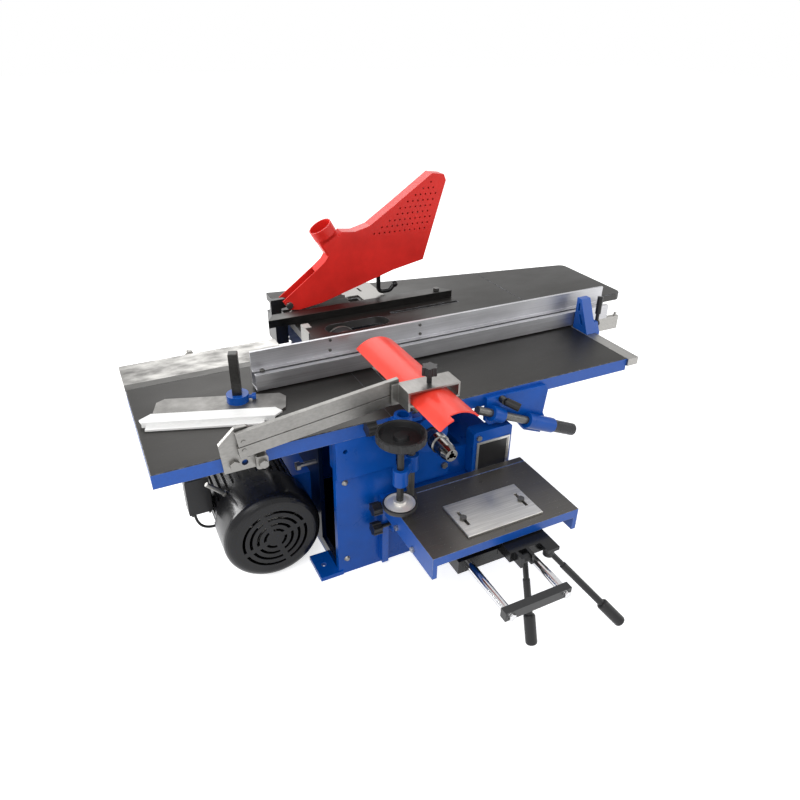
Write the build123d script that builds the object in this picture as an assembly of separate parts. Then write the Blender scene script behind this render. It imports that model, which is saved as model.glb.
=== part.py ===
from build123d import *
import os
from math import atan2, cos, degrees, hypot, radians, sin, sqrt, tan

# Combination woodworking machine: surface planer, rip saw and slot mortiser on one spindle.
# Frame: +X along the planer tables to the infeed end, +Y to the saw side, +Z up.
# Origin: middle of the four foot bolts, on the floor. Sizes in millimetres.

# Shared clearances
FIT = 0.05            # a piece fixed on a shaft or in a bore
RUN = 0.08            # a shaft turning in a bore, a rod sliding in a bush
SLIDE = 0.3           # flat faces that slide past each other
SEAT_GAP = 0.2        # a piece laid against its seat
AIR = 4.0             # parts that pass without touching

# Base frame
BASE_WIDTH = 390.0
BASE_DEPTH = 350.0
BASE_HEIGHT = 255.0
WALL = 10.0
WINDOW_YS = (-160.0, -76.0)
WINDOW_ZS = (30.0, 330.0)
FOOT_LENGTH = 42.0
FOOT_WIDTH = 75.0
FOOT_THICK = 10.0
BOLT_SPACING_X = 434.0
BOLT_SPACING_Y = 280.0
BOLT_HOLE_RADIUS = 6.0
COVER_WIDTH = 130.0
COVER_DEPTH = 55.0
COVER_PROUD = 8.0
OIL_HOLE_RADIUS = 5.0
FEED_LEFT = 108.0
FEED_WIDTH = 97.0
FEED_DEPTH = 30.0
FEED_BOTTOM = 190.0
FEED_HEIGHT = 110.0
FEED_WALL = 8.0
FEED_GAP = 6.0

# Planer tables
TABLE_TOP = 380.0
TABLE_LENGTH = 1060.0
TABLE_DEPTH = 325.0
TABLE_OVERHANG = 10.0
TABLE_EDGE = 30.0
TABLE_PLATE = 12.0
TABLE_RIM = 12.0
RIB = 20.0
EDGE_BREAK = 1.2
REAR_PLATE_LENGTH = 355.0
REAR_PLATE_DEPTH = 119.0
REAR_PLATE_THICK = 10.0
REAR_PLATE_SEAT = 20.0
GUIDE_POST_X = 140.0
GUIDE_POST_YS = (-75.0, 75.0)
GUIDE_POST_RADIUS = 12.0

# Spindle and cutterblock
CUT_RADIUS = 50.0
KNIFE_PROUD = 4.0
BLOCK_LENGTH = 300.0
LIP_CLEARANCE = 6.0
KNIFE_ANGLES = (90.0, 210.0, 330.0)
KNIFE_THICK = 3.0
KNIFE_DEPTH = 20.0
GULLET_RADIUS = 9.0
GULLET_LEAD = 14.0
SHAFT_RADIUS = 15.0
SAW_SHAFT_RADIUS = 10.0
CHUCK_SHANK_RADIUS = 10.0
BEARING_RADIUS = 31.0
BEARING_WIDTH = 16.0
SAW_BEARING_RADIUS = 21.0
SAW_BEARING_WIDTH = 12.0
FRONT_BOSS_RADIUS = 40.0
FRONT_BOSS_LENGTH = 33.0
REAR_BOSS_RADIUS = 36.0
REAR_BOSS_LENGTH = 40.0
SAW_BOSS_RADIUS = 27.0
SAW_BOSS_LENGTH = 22.0
BRACKET_WIDTH = 120.0
BRACKET_PLATE = 12.0
CHUCK_LENGTH = 78.0
CHUCK_RADIUS = 20.0
CHUCK_BORE_RADIUS = 6.0
JAW_RADIUS = 2.8

# Belt drive and motor
PULLEY_RADIUS = 45.0
PULLEY_WIDTH = 40.0
BELT_Y = 254.0
BELT_WIDTH = 25.0
BELT_THICK = 7.0
MOTOR_X = -314.0
MOTOR_Z = 110.0
MOTOR_RADIUS = 99.0
MOTOR_FRONT = -125.0
COWL_LENGTH = 90.0
COWL_PROUD = 5.0
COWL_WALL = 2.5
COWL_SHOULDER = 20.0
VENT_RADII = (22.0, 37.0, 52.0, 67.0)
VENT_WIDTH = 6.0
VENT_BRIDGE = 11.0
FRAME_LENGTH = 200.0
BELL_LENGTH = 26.0
SPIGOT = 6.0
MOTOR_SHAFT_RADIUS = 12.0
FIN_COUNT = 36
FIN_GAP = 8.0
FIN_HEIGHT = 7.0
FIN_END = 20.0
CRADLE_REACH = 66.0
CRADLE_HALF_HEIGHT = 62.0
BOX_X = -437.0
BOX_Y = 23.0
BOX_WIDTH = 50.0
BOX_DEPTH = 38.0
BOX_BOTTOM = 124.0
BOX_HEIGHT = 88.0
LEAD_RADIUS = 3.0
LEAD_INSET = 13.0
LEAD_DROP = 50.0
GLAND_RADIUS = 8.0
GLAND_LENGTH = 8.0

# Saw
BLADE_Y = 410.0
BLADE_RADIUS = 100.0
BLADE_THICK = 2.6
BLADE_TEETH = 40
TOOTH_DEPTH = 5.0
FLANGE_RADIUS = 30.0
FLANGE_THICK = 8.0
SAW_LEFT = -104.0
SAW_LENGTH = 929.0
SAW_GAP = 10.0
SAW_BACK_LEFT = 565.0
SAW_BACK_RIGHT = 419.0
SAW_EDGE = 20.0
SAW_PLATE = 12.0
SAW_RIM = 12.0
SAW_CORNER = 22.0
SAW_SLOT = 22.0
MITRE_SLOT = 12.0
MITRE_SLOT_DEPTH = 5.0
MITRE_SLOT_Y = 287.0
MITRE_SLOT_XS = (150.0, 355.0)
SEAM_X = 525.0
SEAM = 2.0
BELT_SLOT = 54.0
BELT_SLOT_START = -45.0
BELT_SLOT_END = 128.0
POST_RADIUS = 12.0
POST_XS = (150.0, 390.0)
POST_Y = 310.0
SHELF_Z = 200.0
SHELF_THICK = 14.0
BUSH_WALL = 8.0
BUSH_HEIGHT = 60.0
THROAT_THICK = 4.0
BAR_LENGTH = 515.0
BAR_DEPTH = 35.0
BAR_HEIGHT = 20.0
BAR_WALL = 5.0
BAR_TAIL = 30.0
BAR_PIVOT = (315.0, 337.5)
BAR_BOLT_RADIUS = 5.0
HOOD_WIDTH = 36.0
HOOD_WALL = 3.0
HOOD_PIN_RADIUS = 5.0
GUARD_POST_OUT = 33.0
GUARD_POST_DROP = 74.0
GUARD_POST_RISE = 38.0
SLOT_CLEARANCE = 6.0
HOOD_PIVOT = (-92.0, 404.0)
HOOD_OUTLINE = [(-108, 415), (-92, 391), (-64, 386), (-2, 395), (124, 432), (208, 457), (300, 475),
                (362, 683), (355, 699), (319, 704), (212, 632), (140, 585), (97, 574), (61, 578),
                (12, 505), (-8, 489)]
HOOD_MOUTH = [(-120, 380), (-60, 370), (0, 380), (124, 415), (208, 440), (294, 460), (293, 480),
              (208, 463), (124, 438), (-2, 401), (-64, 392), (-100, 400)]
HOOD_FOOT = [(-130, 405), (-92, 395), (-20, 470), (-12, 484), (-20, 500), (-130, 440)]
HOOD_HOLE_RADIUS = 2.5
HOOD_HOLE_STEP = 15.0
HOOD_HOLE_CORNERS = [(152, 562), (212, 612), (319, 684), (340, 680), (310, 562)]
NOZZLE_RADIUS = 31.0
NOZZLE_NECK = 28.0
NOZZLE_NECK_LENGTH = 33.0
NOZZLE_SINK = 8.0
NOZZLE_CORNER = 6.0
NOZZLE_LENGTH = 26.0
NOZZLE_FOOT = (44.0, 532.0)
NOZZLE_MOUTH = (8.0, 594.0)
HOOK_X = 172.0
HOOK_RADIUS = 6.0
HOOK_BALL = 9.0
HOOK_TOP = 466.0

# Fence
FENCE_FRONT = 15.0
FENCE_LEFT = -287.0
FENCE_OVERHANG = 115.0
FENCE_LIFT = 4.0
FENCE_BOX_DEPTH = 37.0
FENCE_BOX_HEIGHT = 36.0
FENCE_WALL = 3.0
FENCE_SLOT = 8.0
FENCE_PLATE_THICK = 6.0
FENCE_PLATE_HEIGHT = 39.0
RAIL_WIDTH = 30.0
RAIL_HEIGHT = 18.0
RAIL_BACK = 120.0
CHEEK_THICK = 12.0
BRACKET_TALL = 80.0
FENCE_BAR_LENGTH = 120.0
FENCE_BAR_THICK = 12.0
FENCE_BAR_FRONT = 20.0
FENCE_BAR_DROP = 35.0
KNUCKLE_RADIUS = 5.5
KNUCKLE_PIN = 2.5
KNUCKLE_LENGTH = 26.0
KNUCKLE_OFFSET = 26.0
LUG_LENGTH = 12.5
LUG_GAP = 0.5

# Bridge guard and its arm
GUARD_WIDTH = 92.0
GUARD_RISE = 20.0
GUARD_WALL = 3.0
GUARD_CENTRE = -21.0
GUARD_EDGE_Z = 438.0
GUARD_NEAR = -352.0
GUARD_STEP = 16.0
LINK_X = -372.0
LINK_Z = 415.0
LINK_SPAN = 296.0
LINK_ANGLE = 7.0
LINK_SPACING = 18.0
LINK_THICK = 9.0
LINK_INNER = 8.0
LINK_OUTER = 20.0
LINK_LOWER = 14.0
LINK_GAP = 2.5
ARM_PLATE = 8.0
PIN_RADIUS = 4.0
HEAD_SIDE = 9.0
HEAD_SHEET = 4.0
HEAD_LENGTH = 46.0
HEAD_DROP = 13.0
KNOB_STEM_RADIUS = 5.0
SOCKET_X = -62.0
SOCKET_OUT = 20.0
SOCKET_RADIUS = 18.0
SOCKET_BORE = 12.0
SOCKET_BOTTOM = 352.0
SOCKET_HEIGHT = 40.0
SOCKET_KNOB_Z = 378.0
SMALL_STEM_RADIUS = 4.0

# Infeed height screw and lock lever
INFEED_PLATE = 10.0
SCREW_OUT = 22.0
SCREW_START = (108.0, 359.2)
SCREW_SLOPE = -24.0
SLEEVE_XS = (240.0, 312.0)
LUG_XS = (144.0, 172.0)
GRIP_XS = (314.0, 375.0)
SLEEVE_RADIUS = 17.0
HEIGHT_SCREW_RADIUS = 9.0
GRIP_RADIUS = 14.0
LOCK_PIVOT = (176.0, 364.0)
LOCK_RADIUS = 9.0

# Press shoe on the outfeed table
SHOE_ANGLE = -18.5
SHOE_POST_AT = (-332.0, -4.0)
SHOE_PLATE = [(-146, 22), (82, 22), (95, 8), (95, -36), (82, -50), (-146, -50), (-160, -36), (-160, 8)]
SHOE_THICK = 3.7
STRIP_LEFT = -172.0
STRIP_RIGHT = 75.0
COLLAR_RADIUS = 22.0
COLLAR_HEIGHT = 16.0
SHOE_POST_SIDE = 18.0
SHOE_POST_HEIGHT = 106.0

# Mortiser; the distances out are measured forward from the back edge of the mortise table
MORTISE_TOP = 210.0
MORTISE_LEFT = -103.0
MORTISE_WIDTH = 333.0
MORTISE_GAP = 6.0
MORTISE_DEPTH = 200.0
MORTISE_PLATE = 12.0
MORTISE_FLANGE = 50.0
MORTISE_FLANGE_WALL = 10.0
MORTISE_LIP = 20.0
MORTISE_LIP_WALL = 8.0
ROD_XS = (-14.0, 107.0)
ROD_Z = 150.0
ROD_RADIUS = 9.0
ROD_OUT = 327.0
CROSSBAR = 16.0
GUIDE_OUTS = (77.0, 157.0)
GUIDE_Z = 182.0
GUIDE_RADIUS = 7.0
LIFT_LEFT = -90.0
LIFT_RIGHT = 135.0
LIFT_PLATE = 12.0
LIFT_BLOCK = 20.0
LIFT_BOTTOM = 95.0
LIFT_TOP = 185.0
GIB_WIDTH = 9.0
GIB_LIP = 6.0
GIB_THICK = 4.0
KNOB_ZS = (172.0, 120.0)
LIFT_KNOB_OUT = 21.5
LIFT_KNOB_RADIUS = 15.0
CARRIAGE_BACK_OUT = 47.0
CARRIAGE_FRONT_OUT = 187.0
CARRIAGE_SIDE = 24.0
CARRIAGE_HALF = 15.0
LEVER_BRACKET_TOP = 186.0
LEVER_OUT = 239.0
LEVER_RISE = 24.0
TRAVEL_LEVER_X = 75.0
CROSS_LEVER_X = 132.0
TRAVEL_END = (63.0, -520.0, 16.0)
CROSS_END = (253.0, -557.0, 20.0)
LEVER_RADIUS = 5.5
LEVER_NECK = 42.0
LEVER_ROD = 7.0
LEVER_GRIP = 11.5
LEVER_GRIP_LENGTH = 62.0
LEVER_ROUNDING = 5.0
STOP_LEFT = -16.0
STOP_WIDTH = 172.0
STOP_DEPTH = 100.0
STOP_THICK = 5.0
STOP_OUT = 131.0
STOP_SLOT_INSET = 18.0
STOP_SLOT = 7.0
STOP_TRAVEL = 18.0
STOP_BOLT_RADIUS = 3.0
COLUMN_X = -58.0
COLUMN_OUT = 23.0
COLUMN_RADIUS = 8.0
COLUMN_HEIGHT = 135.0
CLAMP_X = -100.0
CLAMP_OUT = 59.0
CLAMP_ARM_BOTTOM = 283.0
CLAMP_ARM_HEIGHT = 35.0
CLAMP_BOSS = 15.0
SCREW_RADIUS = 7.0
WHEEL_RADIUS = 48.0
WHEEL_BOTTOM = 376.0
WHEEL_HEIGHT = 24.0
WHEEL_FLUTES = 18
FLUTE_RADIUS = 5.0
PAD_RADIUS = 34.0
PAD_GAP = 19.0
PAD_SOCKET = 13.0

# Values that follow from the driving dimensions
BASE_X = BASE_WIDTH / 2
BASE_Y = BASE_DEPTH / 2
INNER_X = BASE_X - WALL
INNER_Y = BASE_Y - WALL
FEED_FRONT = -BASE_Y - FEED_DEPTH
FEED_RIGHT = FEED_LEFT + FEED_WIDTH
FEED_TOP = FEED_BOTTOM + FEED_HEIGHT
TABLE_END = TABLE_LENGTH / 2
TABLE_FRONT = -BASE_Y - TABLE_OVERHANG
TABLE_BACK = TABLE_FRONT + TABLE_DEPTH
TABLE_UNDER = TABLE_TOP - TABLE_EDGE
PLATE_UNDER = TABLE_TOP - TABLE_PLATE
SPINDLE_Z = TABLE_TOP - CUT_RADIUS
BLOCK_RADIUS = CUT_RADIUS - KNIFE_PROUD
LIP_RADIUS = CUT_RADIUS + LIP_CLEARANCE
BLOCK_FRONT = TABLE_FRONT + (TABLE_DEPTH - BLOCK_LENGTH) / 2
BLOCK_BACK = BLOCK_FRONT + BLOCK_LENGTH
FRONT_BOSS = -BASE_Y - FRONT_BOSS_LENGTH
REAR_BOSS = BASE_Y + BRACKET_PLATE
SAW_BOSS = BLADE_Y - 48.0
FRONT_POCKET = (FRONT_BOSS + 9, FRONT_BOSS + 9 + BEARING_WIDTH)
REAR_POCKET = (REAR_BOSS - 24, REAR_BOSS - 24 + BEARING_WIDTH)
SAW_POCKET = (SAW_BOSS - 17, SAW_BOSS - 17 + SAW_BEARING_WIDTH)
CHUCK_BACK = FRONT_BOSS - 5.0
CHUCK_TIP = CHUCK_BACK - CHUCK_LENGTH
PULLEY_NEAR = BELT_Y - PULLEY_WIDTH / 2
PULLEY_FAR = BELT_Y + PULLEY_WIDTH / 2
GROOVE_RADIUS = PULLEY_RADIUS - BELT_THICK - 1.5
COWL_RADIUS = MOTOR_RADIUS + COWL_PROUD
FRAME_FRONT = MOTOR_FRONT + COWL_LENGTH
FRAME_BACK = FRAME_FRONT + FRAME_LENGTH
LEAD_START = Vector(BOX_X - BOX_WIDTH / 2 + LEAD_INSET, BOX_Y, BOX_BOTTOM - GLAND_LENGTH)
GLAND_Z = LEAD_START.Z - LEAD_DROP
GLAND_ROOT = MOTOR_X - sqrt(MOTOR_RADIUS ** 2 - (MOTOR_Z - GLAND_Z) ** 2)
LEAD_END = Vector(GLAND_ROOT - GLAND_LENGTH, BOX_Y, GLAND_Z)
SAW_FRONT = TABLE_BACK + SAW_GAP
SAW_RIGHT = SAW_LEFT + SAW_LENGTH
SAW_UNDER = TABLE_TOP - SAW_EDGE
BAR_TOP = TABLE_TOP + SLIDE + BAR_HEIGHT
HOOD_FRONT = BLADE_Y - HOOD_WIDTH / 2
HOOD_BACK = BLADE_Y + HOOD_WIDTH / 2
HOOD_INSIDE = (HOOD_FRONT + HOOD_WALL, HOOD_BACK - HOOD_WALL)
NOZZLE_START = Vector(NOZZLE_FOOT[0], BLADE_Y, NOZZLE_FOOT[1])
NOZZLE_LIP = Vector(NOZZLE_MOUTH[0], BLADE_Y, NOZZLE_MOUTH[1])
NOZZLE_AXIS = (NOZZLE_LIP - NOZZLE_START).normalized()
RAIL_RIGHT = TABLE_END + RAIL_WIDTH
CHEEK_RIGHT = RAIL_RIGHT + CHEEK_THICK
FENCE_RIGHT = TABLE_END + FENCE_OVERHANG
FENCE_BOTTOM = TABLE_TOP + FENCE_LIFT
FENCE_LEDGE = FENCE_BOTTOM + FENCE_BOX_HEIGHT
FENCE_TOP = FENCE_LEDGE + FENCE_PLATE_HEIGHT
FENCE_BACK = FENCE_FRONT + FENCE_BOX_DEPTH
KNUCKLE_Y = FENCE_BACK + KNUCKLE_RADIUS + LUG_GAP
KNUCKLE_Z = FENCE_BOTTOM + 8.0
KNUCKLE_XS = (CHEEK_RIGHT + KNUCKLE_OFFSET, CHEEK_RIGHT + KNUCKLE_OFFSET + KNUCKLE_LENGTH)
FENCE_BAR_TOP = FENCE_BOTTOM - 3.0
FENCE_BAR_BACK = FENCE_BAR_FRONT + FENCE_BAR_THICK
FENCE_BAR_BOTTOM = TABLE_TOP - FENCE_BAR_DROP
LINK_BACK = TABLE_FRONT - ARM_PLATE - LINK_GAP
LINK_FRONT = LINK_BACK - LINK_THICK
LINK_END_X = LINK_X + LINK_SPAN * cos(radians(LINK_ANGLE))
LINK_END_Z = LINK_Z + LINK_SPAN * sin(radians(LINK_ANGLE))
GUARD_FAR = FENCE_FRONT - AIR
GUARD_LEFT = GUARD_CENTRE - GUARD_WIDTH / 2
GUARD_RIGHT = GUARD_CENTRE + GUARD_WIDTH / 2
GUARD_TOP = GUARD_EDGE_Z + GUARD_RISE
HEAD_BACK = LINK_FRONT - 1.5
HEAD_FRONT = HEAD_BACK - HEAD_LENGTH
HEAD_LEFT = GUARD_LEFT - HEAD_SIDE
HEAD_RIGHT = GUARD_RIGHT + HEAD_SIDE
HEAD_TOP = GUARD_TOP + 3.0 + HEAD_SHEET
HEAD_KNOB_Y = (HEAD_FRONT + HEAD_BACK) / 2
SOCKET_Y = TABLE_FRONT - SOCKET_OUT
SOCKET_TOP = SOCKET_BOTTOM + SOCKET_HEIGHT
SCREW_Y = TABLE_FRONT - SCREW_OUT
SHOE_BASE = TABLE_TOP + SLIDE
LIFT_FRONT = -BASE_Y - LIFT_PLATE
LIFT_KNOB_Y = -BASE_Y - LIFT_KNOB_OUT
MORTISE_BACK = LIFT_FRONT - LIFT_BLOCK - MORTISE_GAP
MORTISE_FRONT = MORTISE_BACK - MORTISE_DEPTH
MORTISE_RIGHT = MORTISE_LEFT + MORTISE_WIDTH
GUIDE_YS = [MORTISE_BACK - out for out in GUIDE_OUTS]
ROD_FRONT = MORTISE_BACK - ROD_OUT
CARRIAGE_BACK = MORTISE_BACK - CARRIAGE_BACK_OUT
CARRIAGE_FRONT = MORTISE_BACK - CARRIAGE_FRONT_OUT
LEVER_Y = MORTISE_BACK - LEVER_OUT
LEVER_Z = ROD_Z + LEVER_RISE
STOP_Y = MORTISE_BACK - STOP_OUT
COLUMN_Y = MORTISE_BACK - COLUMN_OUT
CLAMP_Y = MORTISE_BACK - CLAMP_OUT
STOP_SLOT_XS = (STOP_LEFT + STOP_SLOT_INSET, STOP_LEFT + STOP_WIDTH - STOP_SLOT_INSET)
CLAMP_ARM_TOP = CLAMP_ARM_BOTTOM + CLAMP_ARM_HEIGHT
PAD_Z = MORTISE_TOP + PAD_GAP
PAD_SEAT = PAD_Z + 6.0


def block(xs, ys, zs):
    """A box between two values on each axis."""
    size = [high - low for low, high in (xs, ys, zs)]
    middle = [(low + high) / 2 for low, high in (xs, ys, zs)]
    return Pos(*middle) * Box(*size)


def bar(start, end, radius):
    """A round bar between two points."""
    start, end = Vector(*start), Vector(*end)
    along = end - start
    low = (Align.CENTER, Align.CENTER, Align.MIN)
    return Plane(origin=start, z_dir=along) * Cylinder(radius, along.length, align=low)


def along_x(y, z, xs, radius):
    """A round bar along X."""
    return bar((xs[0], y, z), (xs[1], y, z), radius)


def along_y(x, z, ys, radius):
    """A round bar along Y."""
    return bar((x, ys[0], z), (x, ys[1], z), radius)


def upright(x, y, zs, radius):
    """A round bar along Z."""
    return bar((x, y, zs[0]), (x, y, zs[1]), radius)


def front_plane(x, y, z):
    """A drawing plane that faces the front, with X to the right and Z up."""
    return Plane(origin=(x, y, z), x_dir=(1, 0, 0), z_dir=(0, -1, 0))


def plate_xz(points, ys):
    """An outline in X and Z, as thick as the Y values."""
    outline = front_plane(0, ys[1], 0) * Polygon(*points, align=None)
    return extrude(outline, ys[1] - ys[0], dir=(0, -1, 0))


def plate_yz(points, xs):
    """An outline in Y and Z, as thick as the X values."""
    plane = Plane(origin=(xs[0], 0, 0), x_dir=(0, 1, 0), z_dir=(1, 0, 0))
    return extrude(plane * Polygon(*points, align=None), xs[1] - xs[0], dir=(1, 0, 0))


def plate_xy(points, zs):
    """An outline in X and Y, as thick as the Z values."""
    return extrude(Pos(0, 0, zs[0]) * Polygon(*points, align=None), zs[1] - zs[0], dir=(0, 0, 1))


def turned_y(profile, x, z):
    """A profile of (radius, y) points turned about an axis along Y."""
    plane = Plane(origin=(x, 0, z), x_dir=(1, 0, 0), z_dir=(0, 0, 1))
    return revolve(plane * Polygon(*profile, align=None), Axis((x, 0, z), (0, 1, 0)))


def turned_z(profile, x, y):
    """A profile of (radius, z) points turned about an upright axis."""
    outline = front_plane(x, y, 0) * Polygon(*profile, align=None)
    return revolve(outline, Axis((x, y, 0), (0, 0, 1)))


def hex_head(point, direction, across, height):
    """A hexagon bolt head standing on a point."""
    plane = Plane(origin=point, z_dir=direction)
    return extrude(plane * RegularPolygon(across / sqrt(3), 6), height, dir=direction)


def star_knob(point, direction, radius, height, stem_radius, stem):
    """A six-lobed knob on a stem; the stem starts at the point."""
    plane = Plane(origin=point, z_dir=direction)
    head = Circle(radius * 0.8)
    for place in PolarLocations(radius * 0.78, 6):
        head += place * Circle(radius * 0.22)
    low = (Align.CENTER, Align.CENTER, Align.MIN)
    grip = extrude(plane.offset(stem) * head, height, dir=direction)
    return grip + plane * Cylinder(stem_radius, stem + 1.0, align=low)


def base_frame():
    """Open cast box: high left wall with a window, feet, guide posts for the infeed table."""
    body = block((-BASE_X, BASE_X), (-BASE_Y, BASE_Y), (0, BASE_HEIGHT))
    body -= block((-INNER_X, INNER_X), (-INNER_Y, INNER_Y), (-1, BASE_HEIGHT + 1))
    body += block((-BASE_X, -INNER_X), (-BASE_Y, TABLE_BACK), (0, TABLE_UNDER))
    body -= block((-BASE_X - 1, -INNER_X + 1), WINDOW_YS, WINDOW_ZS)
    shelf = (GUIDE_POST_X - 40, BASE_X)
    body += block(shelf, (-BASE_Y, BASE_Y), (BASE_HEIGHT - WALL, BASE_HEIGHT))
    for y in GUIDE_POST_YS:
        body += upright(GUIDE_POST_X, y, (BASE_HEIGHT - 1, PLATE_UNDER - 8), GUIDE_POST_RADIUS)
    for side in (-1, 1):
        for end in (-1, 1):
            xs = sorted((side * INNER_X, side * (BASE_X + FOOT_LENGTH)))
            y = end * BOLT_SPACING_Y / 2
            body += block(xs, (y - FOOT_WIDTH / 2, y + FOOT_WIDTH / 2), (0, FOOT_THICK))
            body -= upright(side * BOLT_SPACING_X / 2, y, (-1, FOOT_THICK + 1), BOLT_HOLE_RADIUS)
    return body


def gib(edge, side):
    """Steel strip on the front of the base that holds one edge of the lift plate."""
    front = LIFT_FRONT - SLIDE
    outer = edge + side * GIB_WIDTH
    zs = (FOOT_THICK, LIFT_TOP + 3)
    strip = block(sorted((edge + side * SLIDE, outer)), (front - GIB_THICK, -BASE_Y), zs)
    return strip + block(sorted((edge - side * GIB_LIP, outer)), (front - GIB_THICK, front), zs)


def front_cover():
    """Block at the upper left of the front, with an oil hole."""
    left, right = -INNER_X, -BASE_X + COVER_WIDTH
    top = TABLE_UNDER - 1
    body = block((left, right), (-BASE_Y, -BASE_Y + COVER_DEPTH), (BASE_HEIGHT, top))
    body += block((-BASE_X, right), (-BASE_Y - COVER_PROUD, -BASE_Y), (BASE_HEIGHT + 2, top))
    hole_x, hole_z = -BASE_X + 20, top - 26
    return body - along_y(hole_x, hole_z, (-BASE_Y - 20, -BASE_Y + 20), OIL_HOLE_RADIUS)


def bearing_bracket(plate_ys, boss_ys, pocket_ys, boss_radius):
    """Foot plate on a wall of the base, web and bored boss."""
    half = BRACKET_WIDTH / 2
    body = block((-half, half), plate_ys, (SHELF_Z, BASE_HEIGHT))
    body += block((-half / 2, half / 2), plate_ys, (SHELF_Z, SPINDLE_Z))
    body += along_y(0, SPINDLE_Z, boss_ys, boss_radius)
    body -= along_y(0, SPINDLE_Z, (boss_ys[0] - 1, boss_ys[1] + 1), SHAFT_RADIUS + 3)
    return body - along_y(0, SPINDLE_Z, pocket_ys, BEARING_RADIUS + FIT)


def bearing_brackets():
    """Bearing brackets on the front and back walls of the base."""
    front = bearing_bracket((-BASE_Y - BRACKET_PLATE, -BASE_Y), (FRONT_BOSS, -BASE_Y), FRONT_POCKET,
                            FRONT_BOSS_RADIUS)
    rear = bearing_bracket((BASE_Y, REAR_BOSS), (REAR_BOSS - REAR_BOSS_LENGTH, REAR_BOSS), REAR_POCKET,
                           REAR_BOSS_RADIUS)
    return front + rear


def saw_bracket():
    """Shelf behind the base that guides the saw table posts and carries the saw bearing."""
    left, right, back = -70.0, POST_XS[-1] + 30, SAW_BOSS + 4
    under = SHELF_Z - SHELF_THICK
    foot = SHELF_Z - 90
    body = block((left, right), (BASE_Y, back), (under, SHELF_Z - SLIDE))
    body += block((left, BASE_X), (BASE_Y, BASE_Y + BRACKET_PLATE), (foot, under))
    gusset = [(BASE_Y, under), (back - 40, under), (BASE_Y, foot)]
    for x in (left + 6, BASE_X - 85):
        body += plate_yz(gusset, (x, x + WALL))
    pedestal = (SAW_BOSS - SAW_BOSS_LENGTH, SAW_BOSS)
    body += block((-SAW_BOSS_RADIUS, SAW_BOSS_RADIUS), pedestal, (under, SPINDLE_Z))
    body += along_y(0, SPINDLE_Z, pedestal, SAW_BOSS_RADIUS)
    body -= along_y(0, SPINDLE_Z, (pedestal[0] - 1, pedestal[1] + 1), SAW_SHAFT_RADIUS + 3)
    body -= along_y(0, SPINDLE_Z, SAW_POCKET, SAW_BEARING_RADIUS + FIT)
    for x in POST_XS:
        body += upright(x, POST_Y, (under, SHELF_Z + BUSH_HEIGHT), POST_RADIUS + BUSH_WALL)
        body -= upright(x, POST_Y, (under - 1, SHELF_Z + BUSH_HEIGHT + 1), POST_RADIUS + RUN)
    return body


def ring(ys, outer, inner):
    """A ring about the spindle axis."""
    hole = (ys[0] - 1, ys[1] + 1)
    return along_y(0, SPINDLE_Z, ys, outer) - along_y(0, SPINDLE_Z, hole, inner)


def spindle_bearings():
    """Three bearing rings seated in their pockets."""
    made = ring(FRONT_POCKET, BEARING_RADIUS, SHAFT_RADIUS + RUN)
    made += ring(REAR_POCKET, BEARING_RADIUS, SHAFT_RADIUS + RUN)
    return made + ring(SAW_POCKET, SAW_BEARING_RADIUS, SAW_SHAFT_RADIUS + RUN)


def pulley(x, z, bore):
    """Flanged belt pulley."""
    side = (PULLEY_WIDTH - BELT_WIDTH) / 2 - 1.5
    low, high = PULLEY_NEAR, PULLEY_FAR
    profile = [(bore, low), (PULLEY_RADIUS, low), (PULLEY_RADIUS, low + side), (GROOVE_RADIUS, low + side),
               (GROOVE_RADIUS, high - side), (PULLEY_RADIUS, high - side), (PULLEY_RADIUS, high),
               (bore, high)]
    return turned_y(profile, x, z)


def spindle_shaft():
    """Stepped shaft from the chuck to the saw blade, with its belt pulley."""
    step = PULLEY_FAR + 12
    profile = [(0, CHUCK_TIP + 30), (CHUCK_SHANK_RADIUS, CHUCK_TIP + 30), (CHUCK_SHANK_RADIUS, CHUCK_BACK),
               (SHAFT_RADIUS, CHUCK_BACK), (SHAFT_RADIUS, step), (SAW_SHAFT_RADIUS, step),
               (SAW_SHAFT_RADIUS, BLADE_Y + 30), (0, BLADE_Y + 30)]
    return turned_y(profile, 0, SPINDLE_Z) + pulley(0, SPINDLE_Z, SHAFT_RADIUS - 1)


def knife(angle, thick, length):
    """A knife set on edge at an angle round the spindle."""
    middle = (BLOCK_FRONT + BLOCK_BACK) / 2
    at_edge = Pos(CUT_RADIUS - KNIFE_DEPTH / 2, 0, 0) * Box(KNIFE_DEPTH, length, thick)
    return Pos(0, middle, SPINDLE_Z) * Rot(0, -angle, 0) * at_edge


def cutterblock():
    """Round block with three chip gullets and three straight knives."""
    body = ring((BLOCK_FRONT, BLOCK_BACK), BLOCK_RADIUS, SHAFT_RADIUS + FIT)
    for angle in KNIFE_ANGLES:
        body -= knife(angle, KNIFE_THICK + 2 * FIT, BLOCK_LENGTH + 2)
        gullet = radians(angle + GULLET_LEAD)
        x, z = BLOCK_RADIUS * cos(gullet), SPINDLE_Z + BLOCK_RADIUS * sin(gullet)
        body -= along_y(x, z, (BLOCK_FRONT - 1, BLOCK_BACK + 1), GULLET_RADIUS)
    for angle in KNIFE_ANGLES:
        body += knife(angle, KNIFE_THICK, BLOCK_LENGTH)
    return body


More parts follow.
